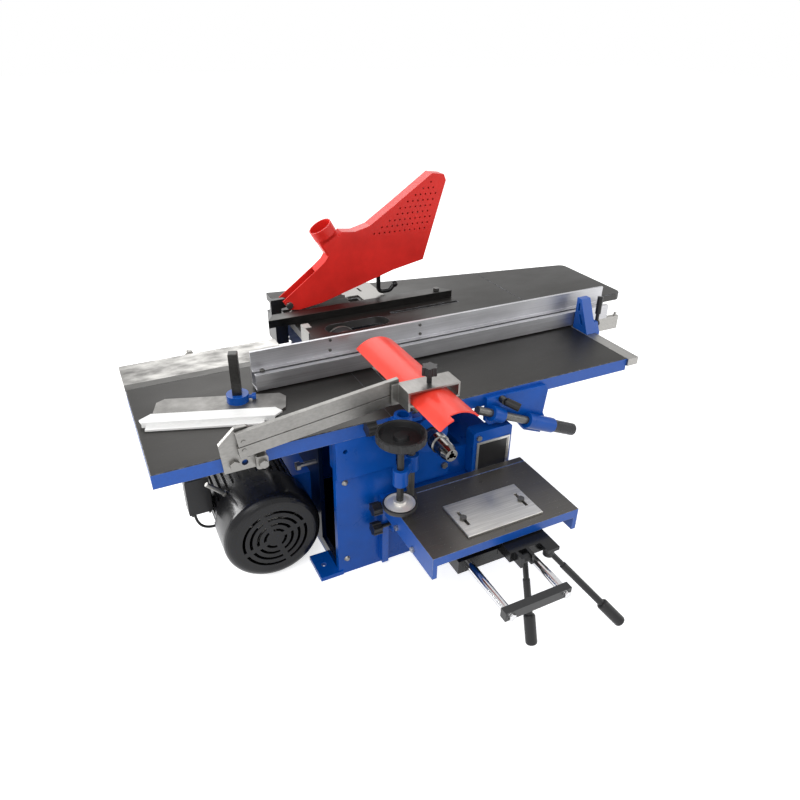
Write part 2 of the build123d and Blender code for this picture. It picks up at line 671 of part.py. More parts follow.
def saw_blade():
    """Toothed blade between two flanges, with the arbor nut."""
    points = []
    for index in range(2 * BLADE_TEETH):
        radius = BLADE_RADIUS - TOOTH_DEPTH * (index % 2)
        angle = radians(180.0 / BLADE_TEETH * index)
        points.append((radius * cos(angle), SPINDLE_Z + radius * sin(angle)))
    near, far = BLADE_Y - BLADE_THICK / 2, BLADE_Y + BLADE_THICK / 2
    body = plate_xz(points, (near, far))
    body += ring((near - FLANGE_THICK, near), FLANGE_RADIUS, SAW_SHAFT_RADIUS + FIT)
    body += ring((far, far + FLANGE_THICK), FLANGE_RADIUS, SAW_SHAFT_RADIUS + FIT)
    body += hex_head((0, far + FLANGE_THICK, SPINDLE_Z), (0, 1, 0), 30, 12)
    return body - along_y(0, SPINDLE_Z, (near - 20, far + 30), SAW_SHAFT_RADIUS + FIT)


def drill_chuck():
    """Three-jaw chuck on the front end of the spindle."""
    r, back, tip = CHUCK_RADIUS, CHUCK_BACK, CHUCK_TIP
    shank = CHUCK_SHANK_RADIUS + FIT
    profile = [(shank, back), (r - 5, back), (r - 5, back - 12), (r - 2, back - 14), (r, back - 20),
               (r, back - 34), (r - 3, back - 36), (r - 3, tip + 14), (r - 7, tip), (CHUCK_BORE_RADIUS, tip),
               (CHUCK_BORE_RADIUS, tip + 29), (shank, tip + 29)]
    body = turned_y(profile, 0, SPINDLE_Z)
    reach = CHUCK_BORE_RADIUS + 2.5
    for place in range(3):
        angle = radians(90 + 120 * place)
        x, z = reach * cos(angle), SPINDLE_Z + reach * sin(angle)
        body -= along_y(x, z, (tip - 1, tip + 22), JAW_RADIUS)
    return body


def drive_belt():
    """Endless belt round the motor and spindle pulleys."""
    inner = GROOVE_RADIUS + SLIDE
    outer = inner + BELT_THICK
    rise = atan2(SPINDLE_Z - MOTOR_Z, -MOTOR_X)
    span = hypot(MOTOR_X, SPINDLE_Z - MOTOR_Z)
    plane = Plane(origin=(MOTOR_X, BELT_Y + BELT_WIDTH / 2, MOTOR_Z), x_dir=(cos(rise), 0, sin(rise)),
                  z_dir=(0, -1, 0))
    loop = SlotCenterToCenter(span, 2 * outer) - SlotCenterToCenter(span, 2 * inner)
    return extrude(plane * (Pos(span / 2, 0) * loop), BELT_WIDTH, dir=(0, -1, 0))


def motor_frame():
    """Finned motor housing with its end bell and a cable gland."""
    front, back = FRAME_FRONT - SPIGOT, FRAME_BACK + BELL_LENGTH
    bore, seat = MOTOR_SHAFT_RADIUS + 2, COWL_RADIUS - COWL_WALL - FIT
    profile = [(bore, front), (seat, front), (seat, FRAME_FRONT), (MOTOR_RADIUS, FRAME_FRONT),
               (MOTOR_RADIUS, FRAME_BACK), (MOTOR_RADIUS - 10, FRAME_BACK + 4), (MOTOR_RADIUS - 30, back),
               (bore, back)]
    body = turned_y(profile, MOTOR_X, MOTOR_Z)
    groove = Box(2 * FIN_HEIGHT, FRAME_LENGTH - 2 * FIN_END, FIN_GAP)
    middle = FRAME_FRONT + FRAME_LENGTH / 2
    body -= [Pos(MOTOR_X, middle, MOTOR_Z) * Rot(0, 360.0 / FIN_COUNT * index, 0) * Pos(MOTOR_RADIUS, 0, 0)
             * groove for index in range(FIN_COUNT)]
    return body + along_x(BOX_Y, GLAND_Z, (LEAD_END.X, GLAND_ROOT + 2 * FIN_HEIGHT), GLAND_RADIUS)


def cowl_shell(radius, front, back):
    """A closed drum with a rounded front shoulder."""
    arc = []
    for step in range(0, 91, 15):
        angle = radians(step)
        arc.append((radius - COWL_SHOULDER * (1 - sin(angle)), front + COWL_SHOULDER * (1 - cos(angle))))
    return turned_y([(0, front)] + arc + [(radius, back), (0, back)], MOTOR_X, MOTOR_Z)


def motor_cowl():
    """Round-shouldered fan cowl with rings of vent slots."""
    body = cowl_shell(COWL_RADIUS, MOTOR_FRONT, FRAME_FRONT)
    body -= cowl_shell(COWL_RADIUS - COWL_WALL, MOTOR_FRONT + COWL_WALL, FRAME_FRONT + 1)
    slots = Sketch()
    for radius in VENT_RADII:
        slots += Circle(radius + VENT_WIDTH / 2) - Circle(radius - VENT_WIDTH / 2)
    for turn in (20.0, 110.0):
        slots -= Rot(0, 0, turn) * Rectangle(2 * COWL_RADIUS, VENT_BRIDGE)
    plane = front_plane(MOTOR_X, MOTOR_FRONT + COWL_WALL + 1, MOTOR_Z)
    return body - extrude(plane * slots, COWL_WALL + 2, dir=(0, -1, 0))


def motor_rotor():
    """Motor shaft with the fan inside the cowl and the belt pulley."""
    hub = FRAME_FRONT - 34
    body = along_y(MOTOR_X, MOTOR_Z, (hub - 2, PULLEY_FAR + 4), MOTOR_SHAFT_RADIUS)
    body += along_y(MOTOR_X, MOTOR_Z, (hub, hub + 22), 2 * MOTOR_SHAFT_RADIUS)
    root, end = 2 * MOTOR_SHAFT_RADIUS - 4, COWL_RADIUS - COWL_SHOULDER
    for index in range(6):
        turn = Pos(MOTOR_X, hub + 11, MOTOR_Z) * Rot(0, 60.0 * index, 0)
        body += turn * Pos((root + end) / 2, 0, 0) * Box(end - root, 20, 3)
    return body + pulley(MOTOR_X, MOTOR_Z, MOTOR_SHAFT_RADIUS - 1)


def motor_cradle():
    """Saddle on the left wall of the base that holds the motor."""
    body = block((MOTOR_X + CRADLE_REACH, -BASE_X), (FRAME_FRONT + FIN_END, FRAME_BACK - FIN_END),
                 (MOTOR_Z - CRADLE_HALF_HEIGHT, MOTOR_Z + CRADLE_HALF_HEIGHT))
    return body - along_y(MOTOR_X, MOTOR_Z, (FRAME_FRONT, FRAME_BACK), MOTOR_RADIUS + SEAT_GAP)


def switch_box():
    """Flat electric box with a gland underneath, on a strip hung from the outfeed table."""
    half_x, half_y = BOX_WIDTH / 2, BOX_DEPTH / 2
    top = BOX_BOTTOM + BOX_HEIGHT
    body = block((BOX_X - half_x, BOX_X + half_x), (BOX_Y - half_y, BOX_Y + half_y), (BOX_BOTTOM, top))
    body = fillet(body.edges().filter_by(Axis.Y), 3)
    body += upright(LEAD_START.X, LEAD_START.Y, (LEAD_START.Z, BOX_BOTTOM + 1), GLAND_RADIUS)
    strip_x = (BOX_X - half_x + 8, BOX_X + half_x - 8)
    back = BOX_Y + half_y
    body += block(strip_x, (back, back + 4), (BOX_BOTTOM + 20, PLATE_UNDER))
    return body + block(strip_x, (back, back + 30), (PLATE_UNDER - 4, PLATE_UNDER))


def motor_lead():
    """Lead from the box down and round to the motor's gland in one large bend."""
    corner = Vector(LEAD_START.X, BOX_Y, GLAND_Z)
    bend = 0.95 * min(LEAD_DROP, LEAD_END.X - LEAD_START.X)
    start = Plane(origin=LEAD_START, z_dir=(0, 0, -1))
    return sweep(start * Circle(LEAD_RADIUS), path=FilletPolyline(LEAD_START, corner, LEAD_END, radius=bend))


def feed_housing():
    """Box on the front of the base, right of the chuck."""
    body = block((FEED_LEFT, FEED_RIGHT), (FEED_FRONT, -BASE_Y), (FEED_BOTTOM, FEED_TOP))
    body = chamfer(body.edges().filter_by(Axis.Y), AIR)
    room = (FEED_FRONT + FEED_WALL, -BASE_Y + 1)
    return body - block((FEED_LEFT + FEED_WALL, FEED_RIGHT - FEED_WALL), room,
                        (FEED_BOTTOM + FEED_WALL, FEED_TOP - FEED_WALL))


def name_plate():
    """Bare plate with a raised frame, on the front of the feed housing."""
    xs = (FEED_LEFT + 8, FEED_RIGHT - 5)
    zs = (FEED_BOTTOM + 6, FEED_TOP - 25)
    frame = 4.0
    plate = block(xs, (FEED_FRONT - 3, FEED_FRONT), zs)
    return plate - block((xs[0] + frame, xs[1] - frame), (FEED_FRONT - 4, FEED_FRONT - 1.5),
                         (zs[0] + frame, zs[1] - frame))


def fasteners():
    """Bolts, the gibs of the lift, the motor's stay bolt and its lifting rod."""
    made = hex_head((FEED_LEFT + 12, FEED_FRONT, FEED_TOP - 14), (0, -1, 0), 11, 5)
    for x in (-48, 48):
        made += hex_head((x, -BASE_Y - BRACKET_PLATE, BASE_HEIGHT - 27), (0, -1, 0), 13, 6)
    for x, z in ((-BASE_X + 20, BASE_HEIGHT - 12), (-BASE_X + 20, 40), (BASE_X - 20, 40)):
        dome = [(0, -BASE_Y - 5), (4, -BASE_Y - 4), (7, -BASE_Y), (0, -BASE_Y)]
        made += turned_y(dome, x, z)
    made += hex_head((LINK_X - 18, TABLE_FRONT - ARM_PLATE, TABLE_UNDER + 16), (0, -1, 0), 17, 7)
    made += hex_head((LINK_X + 30, TABLE_FRONT - 22, TABLE_UNDER + 14), (0, -1, 0), 15, 7)
    made += gib(LIFT_LEFT, -1) + gib(LIFT_RIGHT, 1)
    stay_y, stay_z = FRAME_FRONT - 25, MOTOR_Z + MOTOR_RADIUS + 20
    made += along_x(stay_y, stay_z, (-BASE_X - 45, -BASE_X), 5)
    made += hex_head((-BASE_X - 36, stay_y, stay_z), (-1, 0, 0), 17, 9)
    away = Vector(-1, 0, 1).normalized()
    foot = Vector(MOTOR_X, FRAME_FRONT + 8, MOTOR_Z) + away * (MOTOR_RADIUS + SEAT_GAP)
    return made + bar(foot, foot + away * 54, 5) + bar(foot, foot + away * 8, 7)


def planer_table(xs, ribs):
    """Ribbed cast table: flat top, deep rim and a hollow lip round the cutterblock."""
    body = block(xs, (TABLE_FRONT, TABLE_BACK), (TABLE_UNDER, TABLE_TOP))
    body = chamfer(body.edges().group_by(Axis.Z)[-1], EDGE_BREAK)
    edges = [xs[0] + TABLE_RIM, xs[1] - TABLE_RIM]
    for rib in ribs:
        edges += [rib - RIB / 2, rib + RIB / 2]
    edges.sort()
    for low, high in zip(edges[::2], edges[1::2]):
        body -= block((low, high), (TABLE_FRONT + TABLE_RIM, TABLE_BACK - TABLE_RIM),
                      (TABLE_UNDER - 1, PLATE_UNDER))
    return body


def lip_cut():
    """The round space that the cutterblock turns in."""
    return along_y(0, SPINDLE_Z, (TABLE_FRONT - 1, TABLE_BACK + 1), LIP_RADIUS)


def outfeed_table():
    """Fixed table, left of the cutterblock, on the left wall of the base."""
    near = -LIP_RADIUS - RIB
    body = planer_table((-TABLE_END, near), (-TABLE_END + 170, -INNER_X))
    lip = block((near - 1, -LIP_RADIUS / 4), (TABLE_FRONT, TABLE_BACK), (TABLE_UNDER, TABLE_TOP))
    return body + lip - lip_cut()


def infeed_table():
    """Table right of the cutterblock, bored to slide on its two guide posts."""
    near = LIP_RADIUS + RIB
    body = planer_table((near, TABLE_END), (GUIDE_POST_X + 90, TABLE_END - 150))
    body += block((LIP_RADIUS / 4, near + 1), (TABLE_FRONT, TABLE_BACK), (TABLE_UNDER, TABLE_TOP))
    for y in GUIDE_POST_YS:
        body += upright(GUIDE_POST_X, y, (TABLE_UNDER - 20, PLATE_UNDER + 1), GUIDE_POST_RADIUS + 9)
        body -= upright(GUIDE_POST_X, y, (TABLE_UNDER - 21, PLATE_UNDER - 2), GUIDE_POST_RADIUS + RUN)
    return body - lip_cut()


def rear_plate():
    """Bright ground plate behind the outfeed table, on two ribs, with a round stop on its back edge."""
    right = REAR_PLATE_SEAT - BASE_X
    left = right - REAR_PLATE_LENGTH
    back = TABLE_BACK + REAR_PLATE_DEPTH
    body = block((left, right), (TABLE_BACK, back), (TABLE_TOP - REAR_PLATE_THICK, TABLE_TOP))
    body = chamfer(body.edges().filter_by(Axis.Z), AIR)
    body += block((left + 6, right - 6), (TABLE_BACK, TABLE_BACK + WALL), (TABLE_UNDER, TABLE_TOP - 1))
    body += block((left + 20, right - 20), (back - 14, back), (TABLE_UNDER + 8, TABLE_TOP - 1))
    stop = [(0, back - 1), (5, back - 1), (5, back + 8), (9, back + 9), (10, back + 18), (7, back + 24),
            (0, back + 24)]
    return body + turned_y(stop, left + 155, TABLE_TOP - 7)


def screw_point(x):
    """A point on the sloping axis of the height screw."""
    return (x, SCREW_Y, SCREW_START[1] + (x - SCREW_START[0]) * tan(radians(SCREW_SLOPE)))


def infeed_bracket():
    """Bracket on the front edge of the infeed table, with a sleeve and a lug for the height screw."""
    under = FEED_TOP + FEED_GAP
    points = [(140, TABLE_TOP - 8), (292, TABLE_TOP - 10), (299, TABLE_TOP - 24), (293, 301), (305, 277),
              (293, 248), (245, 268), (FEED_RIGHT + 9, under), (150, under), (140, under + 10)]
    body = plate_xz(points, (TABLE_FRONT - INFEED_PLATE, TABLE_FRONT))
    for low, high in (SLEEVE_XS, LUG_XS):
        body += bar(screw_point(low), screw_point(high), SLEEVE_RADIUS)
    start, end = LUG_XS[0] - 2, SLEEVE_XS[1] + 2
    return body - bar(screw_point(start), screw_point(end), HEIGHT_SCREW_RADIUS + RUN)


def height_screw():
    """Screw with a knurled grip that sets the height of the infeed table."""
    low, high = GRIP_XS
    made = bar(screw_point(SCREW_START[0]), screw_point(low + 5), HEIGHT_SCREW_RADIUS)
    return made + bar(screw_point(low), screw_point(high), GRIP_RADIUS)


def table_lock_lever():
    """Clamping lever on the infeed bracket."""
    x, z = LOCK_PIVOT
    face = TABLE_FRONT - INFEED_PLATE - SEAT_GAP
    root = Vector(x, face - 8, z)
    tip = Vector(x + 25, face - 32, z - 12)
    hub = along_y(x, z, (face - 14, face), 8)
    return hub + bar(root, tip, 5) + bar(root + (tip - root) * 0.15, tip, LOCK_RADIUS)


def fence_rail():
    """Flat rail across the end of the infeed table."""
    return block((TABLE_END, RAIL_RIGHT), (TABLE_FRONT - 5, RAIL_BACK), (TABLE_TOP - RAIL_HEIGHT, TABLE_TOP))


def fence_bracket():
    """Sloping slotted casting over the rail, its outer cheek, and the flat bar with the fence's knuckle."""
    low, front, back = TABLE_TOP + SLIDE, -42.0, FENCE_FRONT - AIR
    tall = low + BRACKET_TALL
    body = plate_yz([(front, low), (back, low), (back, tall), (back - 15, tall)], (TABLE_END + 2, RAIL_RIGHT))
    through = (TABLE_END + 1, RAIL_RIGHT + 1)
    body -= plate_yz([(back - 35, low + 16), (back - 23, low + 16), (back - 14, low + 40),
                      (back - 20, low + 40)], through)
    body -= plate_yz([(back - 16, low + 48), (back - 8, low + 48), (back - 8, low + 68),
                      (back - 13, low + 68)], through)
    cheek = [(front, FENCE_BAR_BOTTOM), (FENCE_BAR_BACK, FENCE_BAR_BOTTOM), (FENCE_BAR_BACK, FENCE_BAR_TOP),
             (back, FENCE_BAR_TOP), (back, low + 24), (front + 12, low + 24), (front, low)]
    body += plate_yz(cheek, (RAIL_RIGHT + SLIDE, CHEEK_RIGHT))
    body += block((RAIL_RIGHT - 1, RAIL_RIGHT + 1), (front + 14, back), (low, low + 20))
    right = CHEEK_RIGHT + FENCE_BAR_LENGTH
    zs = (FENCE_BAR_BOTTOM, FENCE_BAR_TOP)
    body += block((CHEEK_RIGHT, right), (FENCE_BAR_FRONT, FENCE_BAR_BACK), zs)
    body += block(KNUCKLE_XS, (FENCE_BAR_BACK - 1, KNUCKLE_Y + KNUCKLE_RADIUS), (zs[0] + 16, zs[1]))
    body += block(KNUCKLE_XS, (KNUCKLE_Y - 5, KNUCKLE_Y + 5), (zs[1] - 1, KNUCKLE_Z))
    body += along_x(KNUCKLE_Y, KNUCKLE_Z, KNUCKLE_XS, KNUCKLE_RADIUS)
    body += upright(right - 8, (FENCE_BAR_FRONT + FENCE_BAR_BACK) / 2, (zs[1] - 1, zs[1] + 8), 4)
    return body - along_x(KNUCKLE_Y, KNUCKLE_Z, (KNUCKLE_XS[0] - 1, KNUCKLE_XS[1] + 1), KNUCKLE_PIN + RUN)


def fence_profile():
    """Hollow aluminium fence: box, ledge slot, upper plate and two hinge lugs with their pin."""
    xs = (FENCE_LEFT, FENCE_RIGHT)
    ends = (xs[0] - 1, xs[1] + 1)
    w = FENCE_WALL
    body = block(xs, (FENCE_FRONT, FENCE_BACK), (FENCE_BOTTOM, FENCE_LEDGE))
    body -= block(ends, (FENCE_FRONT + w, FENCE_BACK - w), (FENCE_BOTTOM + w, FENCE_LEDGE - w))
    slot = FENCE_FRONT + FENCE_BOX_DEPTH * 0.4
    slot_ys = (slot - FENCE_SLOT / 2, slot + FENCE_SLOT / 2)
    body -= block(ends, slot_ys, (FENCE_LEDGE - w - 1, FENCE_LEDGE + 1))
    body += block(xs, (FENCE_BACK - FENCE_PLATE_THICK, FENCE_BACK), (FENCE_LEDGE - 1, FENCE_TOP))
    low, high = KNUCKLE_XS[0] - LUG_GAP, KNUCKLE_XS[1] + LUG_GAP
    for lug in ((low - LUG_LENGTH, low), (high, high + LUG_LENGTH)):
        body += along_x(KNUCKLE_Y, KNUCKLE_Z, lug, KNUCKLE_RADIUS)
        body += block(lug, (FENCE_BACK - 1, KNUCKLE_Y), (KNUCKLE_Z - 4, KNUCKLE_Z + 4))
    return body + along_x(KNUCKLE_Y, KNUCKLE_Z, (low - LUG_LENGTH, high + LUG_LENGTH), KNUCKLE_PIN)


def fence_lock_lever():
    """Lever that clamps the bracket on the rail."""
    x, y, z = CHEEK_RIGHT + SEAT_GAP, -14.0, TABLE_TOP + 12
    root = Vector(x + 12, y, z)
    tip = root + Vector(9, 10, 66)
    hub = along_x(y, z, (x, x + 16), 8)
    return hub + bar(root, tip, 4.5) + bar(root + (tip - root) * 0.35, tip, 7)


def arm_base():
    """Plate on the front edge of the outfeed table with two pivot pins and a clamp lug."""
    low = TABLE_UNDER
    points = [(LINK_X - 37, low), (LINK_X + 40, low), (LINK_X + 40, low + 62), (LINK_X + 10, LINK_Z + 24),
              (LINK_X - 11, LINK_Z + 24), (LINK_X - 42, LINK_Z - 5)]
    through = (TABLE_FRONT - ARM_PLATE - 1, TABLE_FRONT + 1)
    body = plate_xz(points, (TABLE_FRONT - ARM_PLATE, TABLE_FRONT))
    body -= along_y(LINK_X + 1, low + 15, through, 6)
    body -= block((LINK_X - 7, LINK_X + 13), through, (low + 25, low + 31))
    for z in (LINK_Z, LINK_Z - LINK_SPACING):
        body += along_y(LINK_X, z, (LINK_FRONT - 1.5, TABLE_FRONT - 2), PIN_RADIUS)
    lug = block((LINK_X + 18, LINK_X + 40), (TABLE_FRONT - 22, TABLE_FRONT - ARM_PLATE), (low + 2, low + 28))
    return body + chamfer(lug.edges().filter_by(Axis.Y), 3)


def link(z, below, above):
    """A flat link with a bore at each end, laid along the arm's slope."""
    ys = (LINK_FRONT, LINK_BACK)
    flat = plate_xz([(-10, -below), (LINK_SPAN + 8, -below), (LINK_SPAN + 8, above), (-10, above)], ys)
    through = (ys[0] - 1, ys[1] + 1)
    flat -= along_y(0, 0, through, PIN_RADIUS + RUN)
    flat -= along_y(LINK_SPAN, 0, through, PIN_RADIUS + SLIDE)
    return Pos(LINK_X, 0, z) * Rot(0, -LINK_ANGLE, 0) * flat


def upper_link():
    """Upper bar of the guard's parallelogram arm."""
    return link(LINK_Z, LINK_INNER, LINK_OUTER)


def lower_link():
    """Lower bar of the guard's parallelogram arm."""
    return link(LINK_Z - LINK_SPACING, LINK_LOWER, LINK_INNER)


def guard_head():
    """Folded sheet saddle that the bridge guard slides through, with two pivot pins."""
    ys = (HEAD_FRONT, HEAD_BACK)
    low = GUARD_EDGE_Z - HEAD_DROP
    body = block((HEAD_LEFT, HEAD_RIGHT), ys, (HEAD_TOP - HEAD_SHEET, HEAD_TOP))
    body += block((HEAD_LEFT, HEAD_LEFT + HEAD_SHEET), ys, (low, HEAD_TOP))
    right = [(ys[0] + 10, low), (ys[1] - 8, low), (ys[1], low + 12), (ys[1], HEAD_TOP), (ys[0], HEAD_TOP),
             (ys[0], low + 14)]
    body += plate_yz(right, (HEAD_RIGHT - HEAD_SHEET, HEAD_RIGHT))
    shelf = (GUARD_EDGE_Z - SLIDE - HEAD_SHEET, GUARD_EDGE_Z - SLIDE)
    body += block((HEAD_LEFT, GUARD_LEFT + 5), ys, shelf)
    body += block((GUARD_RIGHT - 5, HEAD_RIGHT), ys, shelf)
    body += block((LINK_END_X - 12, HEAD_LEFT + 2), (HEAD_BACK - 6, HEAD_BACK), (low - 3, HEAD_TOP))
    for z in (LINK_END_Z, LINK_END_Z - LINK_SPACING):
        body += along_y(LINK_END_X, z, (HEAD_BACK - 5, LINK_BACK), PIN_RADIUS)
    hole = (HEAD_TOP - HEAD_SHEET - 1, HEAD_TOP + 1)
    return body - upright(GUARD_CENTRE, HEAD_KNOB_Y, hole, KNOB_STEM_RADIUS + RUN)


def head_knob():
    """Star knob that clamps the guard in its saddle."""
    foot = GUARD_TOP + SLIDE
    return star_knob((GUARD_CENTRE, HEAD_KNOB_Y, foot), (0, 0, 1), 16, 17, KNOB_STEM_RADIUS, 24)


def bridge_guard():
    """Arched guard over the cutterblock, with a stepped near end."""
    radius = ((GUARD_WIDTH / 2) ** 2 + GUARD_RISE ** 2) / (2 * GUARD_RISE)
    centre = GUARD_TOP - radius
    ys = (GUARD_NEAR, GUARD_FAR)
    body = along_y(GUARD_CENTRE, centre, ys, radius)
    body -= along_y(GUARD_CENTRE, centre, (ys[0] - 1, ys[1] + 1), radius - GUARD_WALL)
    body &= block((GUARD_LEFT, GUARD_RIGHT), ys, (GUARD_EDGE_Z, GUARD_TOP + 1))
    return body - block((GUARD_CENTRE - 18, GUARD_RIGHT + 1), (GUARD_NEAR - 1, GUARD_NEAR + GUARD_STEP),
                        (GUARD_EDGE_Z - 1, GUARD_TOP + 1))


def post_socket():
    """Ring-shaped socket on the front edge of the outfeed table, with a short bar."""
    body = upright(SOCKET_X, SOCKET_Y, (SOCKET_BOTTOM, SOCKET_TOP), SOCKET_RADIUS)
    body += block((SOCKET_X - SOCKET_RADIUS, SOCKET_X + SOCKET_RADIUS), (SOCKET_Y, TABLE_FRONT),
                  (SOCKET_BOTTOM, TABLE_TOP))
    body += block((SOCKET_X, SOCKET_X + 40), (SOCKET_Y - 5, SOCKET_Y + 10), (TABLE_TOP - 8, TABLE_TOP))
    body -= upright(SOCKET_X, SOCKET_Y, (SOCKET_BOTTOM - 1, SOCKET_TOP + 1), SOCKET_BORE)
    return body - along_x(SOCKET_Y, SOCKET_KNOB_Z, (SOCKET_X - 30, SOCKET_X), SMALL_STEM_RADIUS + RUN)


def socket_knob():
    """Lock knob of the post socket."""
    start = SOCKET_X - SOCKET_BORE - 2
    return star_knob((start, SOCKET_Y, SOCKET_KNOB_Z), (-1, 0, 0), 16, 20, SMALL_STEM_RADIUS, 44)


def on_shoe(shape):
    """Places a piece drawn round the post on the slanted shoe."""
    return Pos(*SHOE_POST_AT, SHOE_BASE) * Rot(0, 0, SHOE_ANGLE) * shape


def press_shoe():
    """Flat plate with chamfered ends and a Z-section strip along its front, lying on the outfeed table."""
    t = SHOE_THICK
    front = SHOE_PLATE[4][1]
    xs = (STRIP_LEFT, STRIP_RIGHT)
    body = plate_xy(SHOE_PLATE, (0, t))
    strip = [(xs[0], front - 29), (xs[1], front - 29), (xs[1] + 14, front - 12), (xs[1], front + 3),
             (xs[0] + 12, front + 3), (xs[0] - 6, front - 18)]
    body += plate_xy(strip, (2 * t, 3 * t))
    body += block((xs[0] + 30, xs[1] - 2), (front, front + 3), (t - 1, 3 * t))
    body += block(xs, (front - 29, front - 25), (0, 3 * t))
    return on_shoe(body + block((xs[0] + 8, xs[1] - 20), (front - 43, front - 25), (0, t)))


def shoe_collar():
    """Round collar on the shoe with a square bore for the post, and its clamp screw."""
    zs = (SHOE_THICK, SHOE_THICK + COLLAR_HEIGHT)
    middle = sum(zs) / 2
    side = SHOE_POST_SIDE + 2 * SLIDE
    body = upright(0, 0, zs, COLLAR_RADIUS) - Pos(0, 0, middle) * Box(side, side, COLLAR_HEIGHT + 2)
    body += along_x(0, middle, (COLLAR_RADIUS - 3, COLLAR_RADIUS + 8), 4)
    return on_shoe(body + along_x(0, middle, (COLLAR_RADIUS + 7, COLLAR_RADIUS + 14), 7))


def shoe_post():
    """Square post standing in the collar."""
    middle = SHOE_THICK + SLIDE + SHOE_POST_HEIGHT / 2
    post = Pos(0, 0, middle) * Box(SHOE_POST_SIDE, SHOE_POST_SIDE, SHOE_POST_HEIGHT)
    return on_shoe(chamfer(post.edges().group_by(Axis.Z)[-1], 1))


def saw_back(x):
    """Y of the slanting back edge of the saw table."""
    share = (x - SAW_LEFT) / SAW_LENGTH
    return SAW_BACK_LEFT + share * (SAW_BACK_RIGHT - SAW_BACK_LEFT)


def saw_pockets(rim, middle):
    """Hollows under the saw table, clear of its rim and of both slots."""
    right = SAW_RIGHT - rim
    yield [(middle, SAW_FRONT + rim), (right, SAW_FRONT + rim), (right, saw_back(SAW_RIGHT) - rim),
           (middle, saw_back(middle) - rim)]
    belt, blade = BELT_SLOT / 2 + rim, SAW_SLOT / 2 + rim
    bands = ((SAW_FRONT + rim, BELT_Y - belt), (BELT_Y + belt, BLADE_Y - blade),
             (BLADE_Y + blade, saw_back(middle) - rim))
    for near, far in bands:
        yield [(SAW_LEFT + rim, near), (middle - rim, near), (middle - rim, far), (SAW_LEFT + rim, far)]


def saw_table():
    """Plate with a deep rim, an open blade slot, an oval belt slot and two sliding posts."""
    outline = [(SAW_LEFT, SAW_FRONT), (SAW_RIGHT, SAW_FRONT), (SAW_RIGHT, SAW_BACK_RIGHT),
               (SAW_LEFT, SAW_BACK_LEFT)]
    zs = (SAW_UNDER - 1, TABLE_TOP + 1)
    hollow = (SAW_UNDER - 1, TABLE_TOP - SAW_PLATE)
    body = plate_xy(outline, (SAW_UNDER, TABLE_TOP))
    body = fillet(body.edges().filter_by(Axis.Z).group_by(Axis.X)[-1], SAW_CORNER)
    body = chamfer(body.edges().group_by(Axis.Z)[-1], EDGE_BREAK)
    half = MITRE_SLOT / 2
    body -= block(MITRE_SLOT_XS, (MITRE_SLOT_Y - half, MITRE_SLOT_Y + half),
                  (TABLE_TOP - MITRE_SLOT_DEPTH, TABLE_TOP + 1))
    body -= block((SEAM_X - SEAM / 2, SEAM_X + SEAM / 2), (SAW_FRONT - 1, SAW_BACK_LEFT),
                  (TABLE_TOP - SEAM, TABLE_TOP + 1))
    for points in saw_pockets(SAW_RIM, BELT_SLOT_END + SAW_RIM):
        body -= plate_xy(points, hollow)
    notch = sqrt(max(REAR_BOSS_RADIUS ** 2 - (SAW_UNDER - SPINDLE_Z) ** 2, 0)) + AIR
    body -= block((-notch, notch), (SAW_FRONT - 1, SAW_FRONT + SAW_RIM + 1), hollow)
    half = SAW_SLOT / 2
    body -= block((SAW_LEFT - 1, BLADE_RADIUS + SAW_RIM), (BLADE_Y - half, BLADE_Y + half), zs)
    half = BELT_SLOT / 2
    ends = (BELT_SLOT_START + half, BELT_SLOT_END - half)
    body -= block(ends, (BELT_Y - half, BELT_Y + half), zs)
    for x in ends:
        body -= upright(x, BELT_Y, zs, half)
    for x in POST_XS:
        body += upright(x, POST_Y, (SAW_UNDER, TABLE_TOP - 2), POST_RADIUS + WALL)
        body += upright(x, POST_Y, (SHELF_Z - SHELF_THICK - 10, SAW_UNDER + 1), POST_RADIUS)
    return body


def saw_fittings():
    """Throat plate beside the blade, bent tab at the belt slot and the guide bar's pivot bolt."""
    y = BLADE_Y
    throat = [(24, y + 22), (120, y + 22), (120, y - 36), (188, y - 36), (188, y + 104), (24, y + 104)]
    made = plate_xy(throat, (TABLE_TOP, TABLE_TOP + THROAT_THICK))
    made -= block((136, 142), (y + 44, y + 72), (TABLE_TOP - 1, TABLE_TOP + THROAT_THICK + 1))
    tab = block((SAW_LEFT - 3, SAW_LEFT), (BELT_Y - 52, BELT_Y + 6), (TABLE_TOP - 18, TABLE_TOP + 24))
    tab += block((SAW_LEFT - 3, SAW_LEFT + 16), (BELT_Y - 20, BELT_Y + 6), (TABLE_TOP + 21, TABLE_TOP + 24))
    bolt = upright(*BAR_PIVOT, (TABLE_TOP, BAR_TOP + 1), BAR_BOLT_RADIUS)
    bolt += hex_head((*BAR_PIVOT, BAR_TOP + SLIDE), (0, 0, 1), 16, 7)
    return made + tab + bolt


def mitre_bar():
    """Angle-section guide bar with mitred ends, turning on a bolt near its right end."""
    left, half = BAR_TAIL - BAR_LENGTH, BAR_DEPTH / 2
    points = [(left, -half), (BAR_TAIL + 10, -half), (BAR_TAIL - 14, half), (left + 22, half)]
    body = plate_xy(points, (0, BAR_HEIGHT))
    body -= block((left - 1, -BAR_TAIL), (-half + BAR_WALL, half + 1), (-1, BAR_HEIGHT - BAR_WALL))
    body -= upright(0, 0, (-1, BAR_HEIGHT + 1), BAR_BOLT_RADIUS + RUN)
    return Pos(*BAR_PIVOT, TABLE_TOP + SLIDE) * body


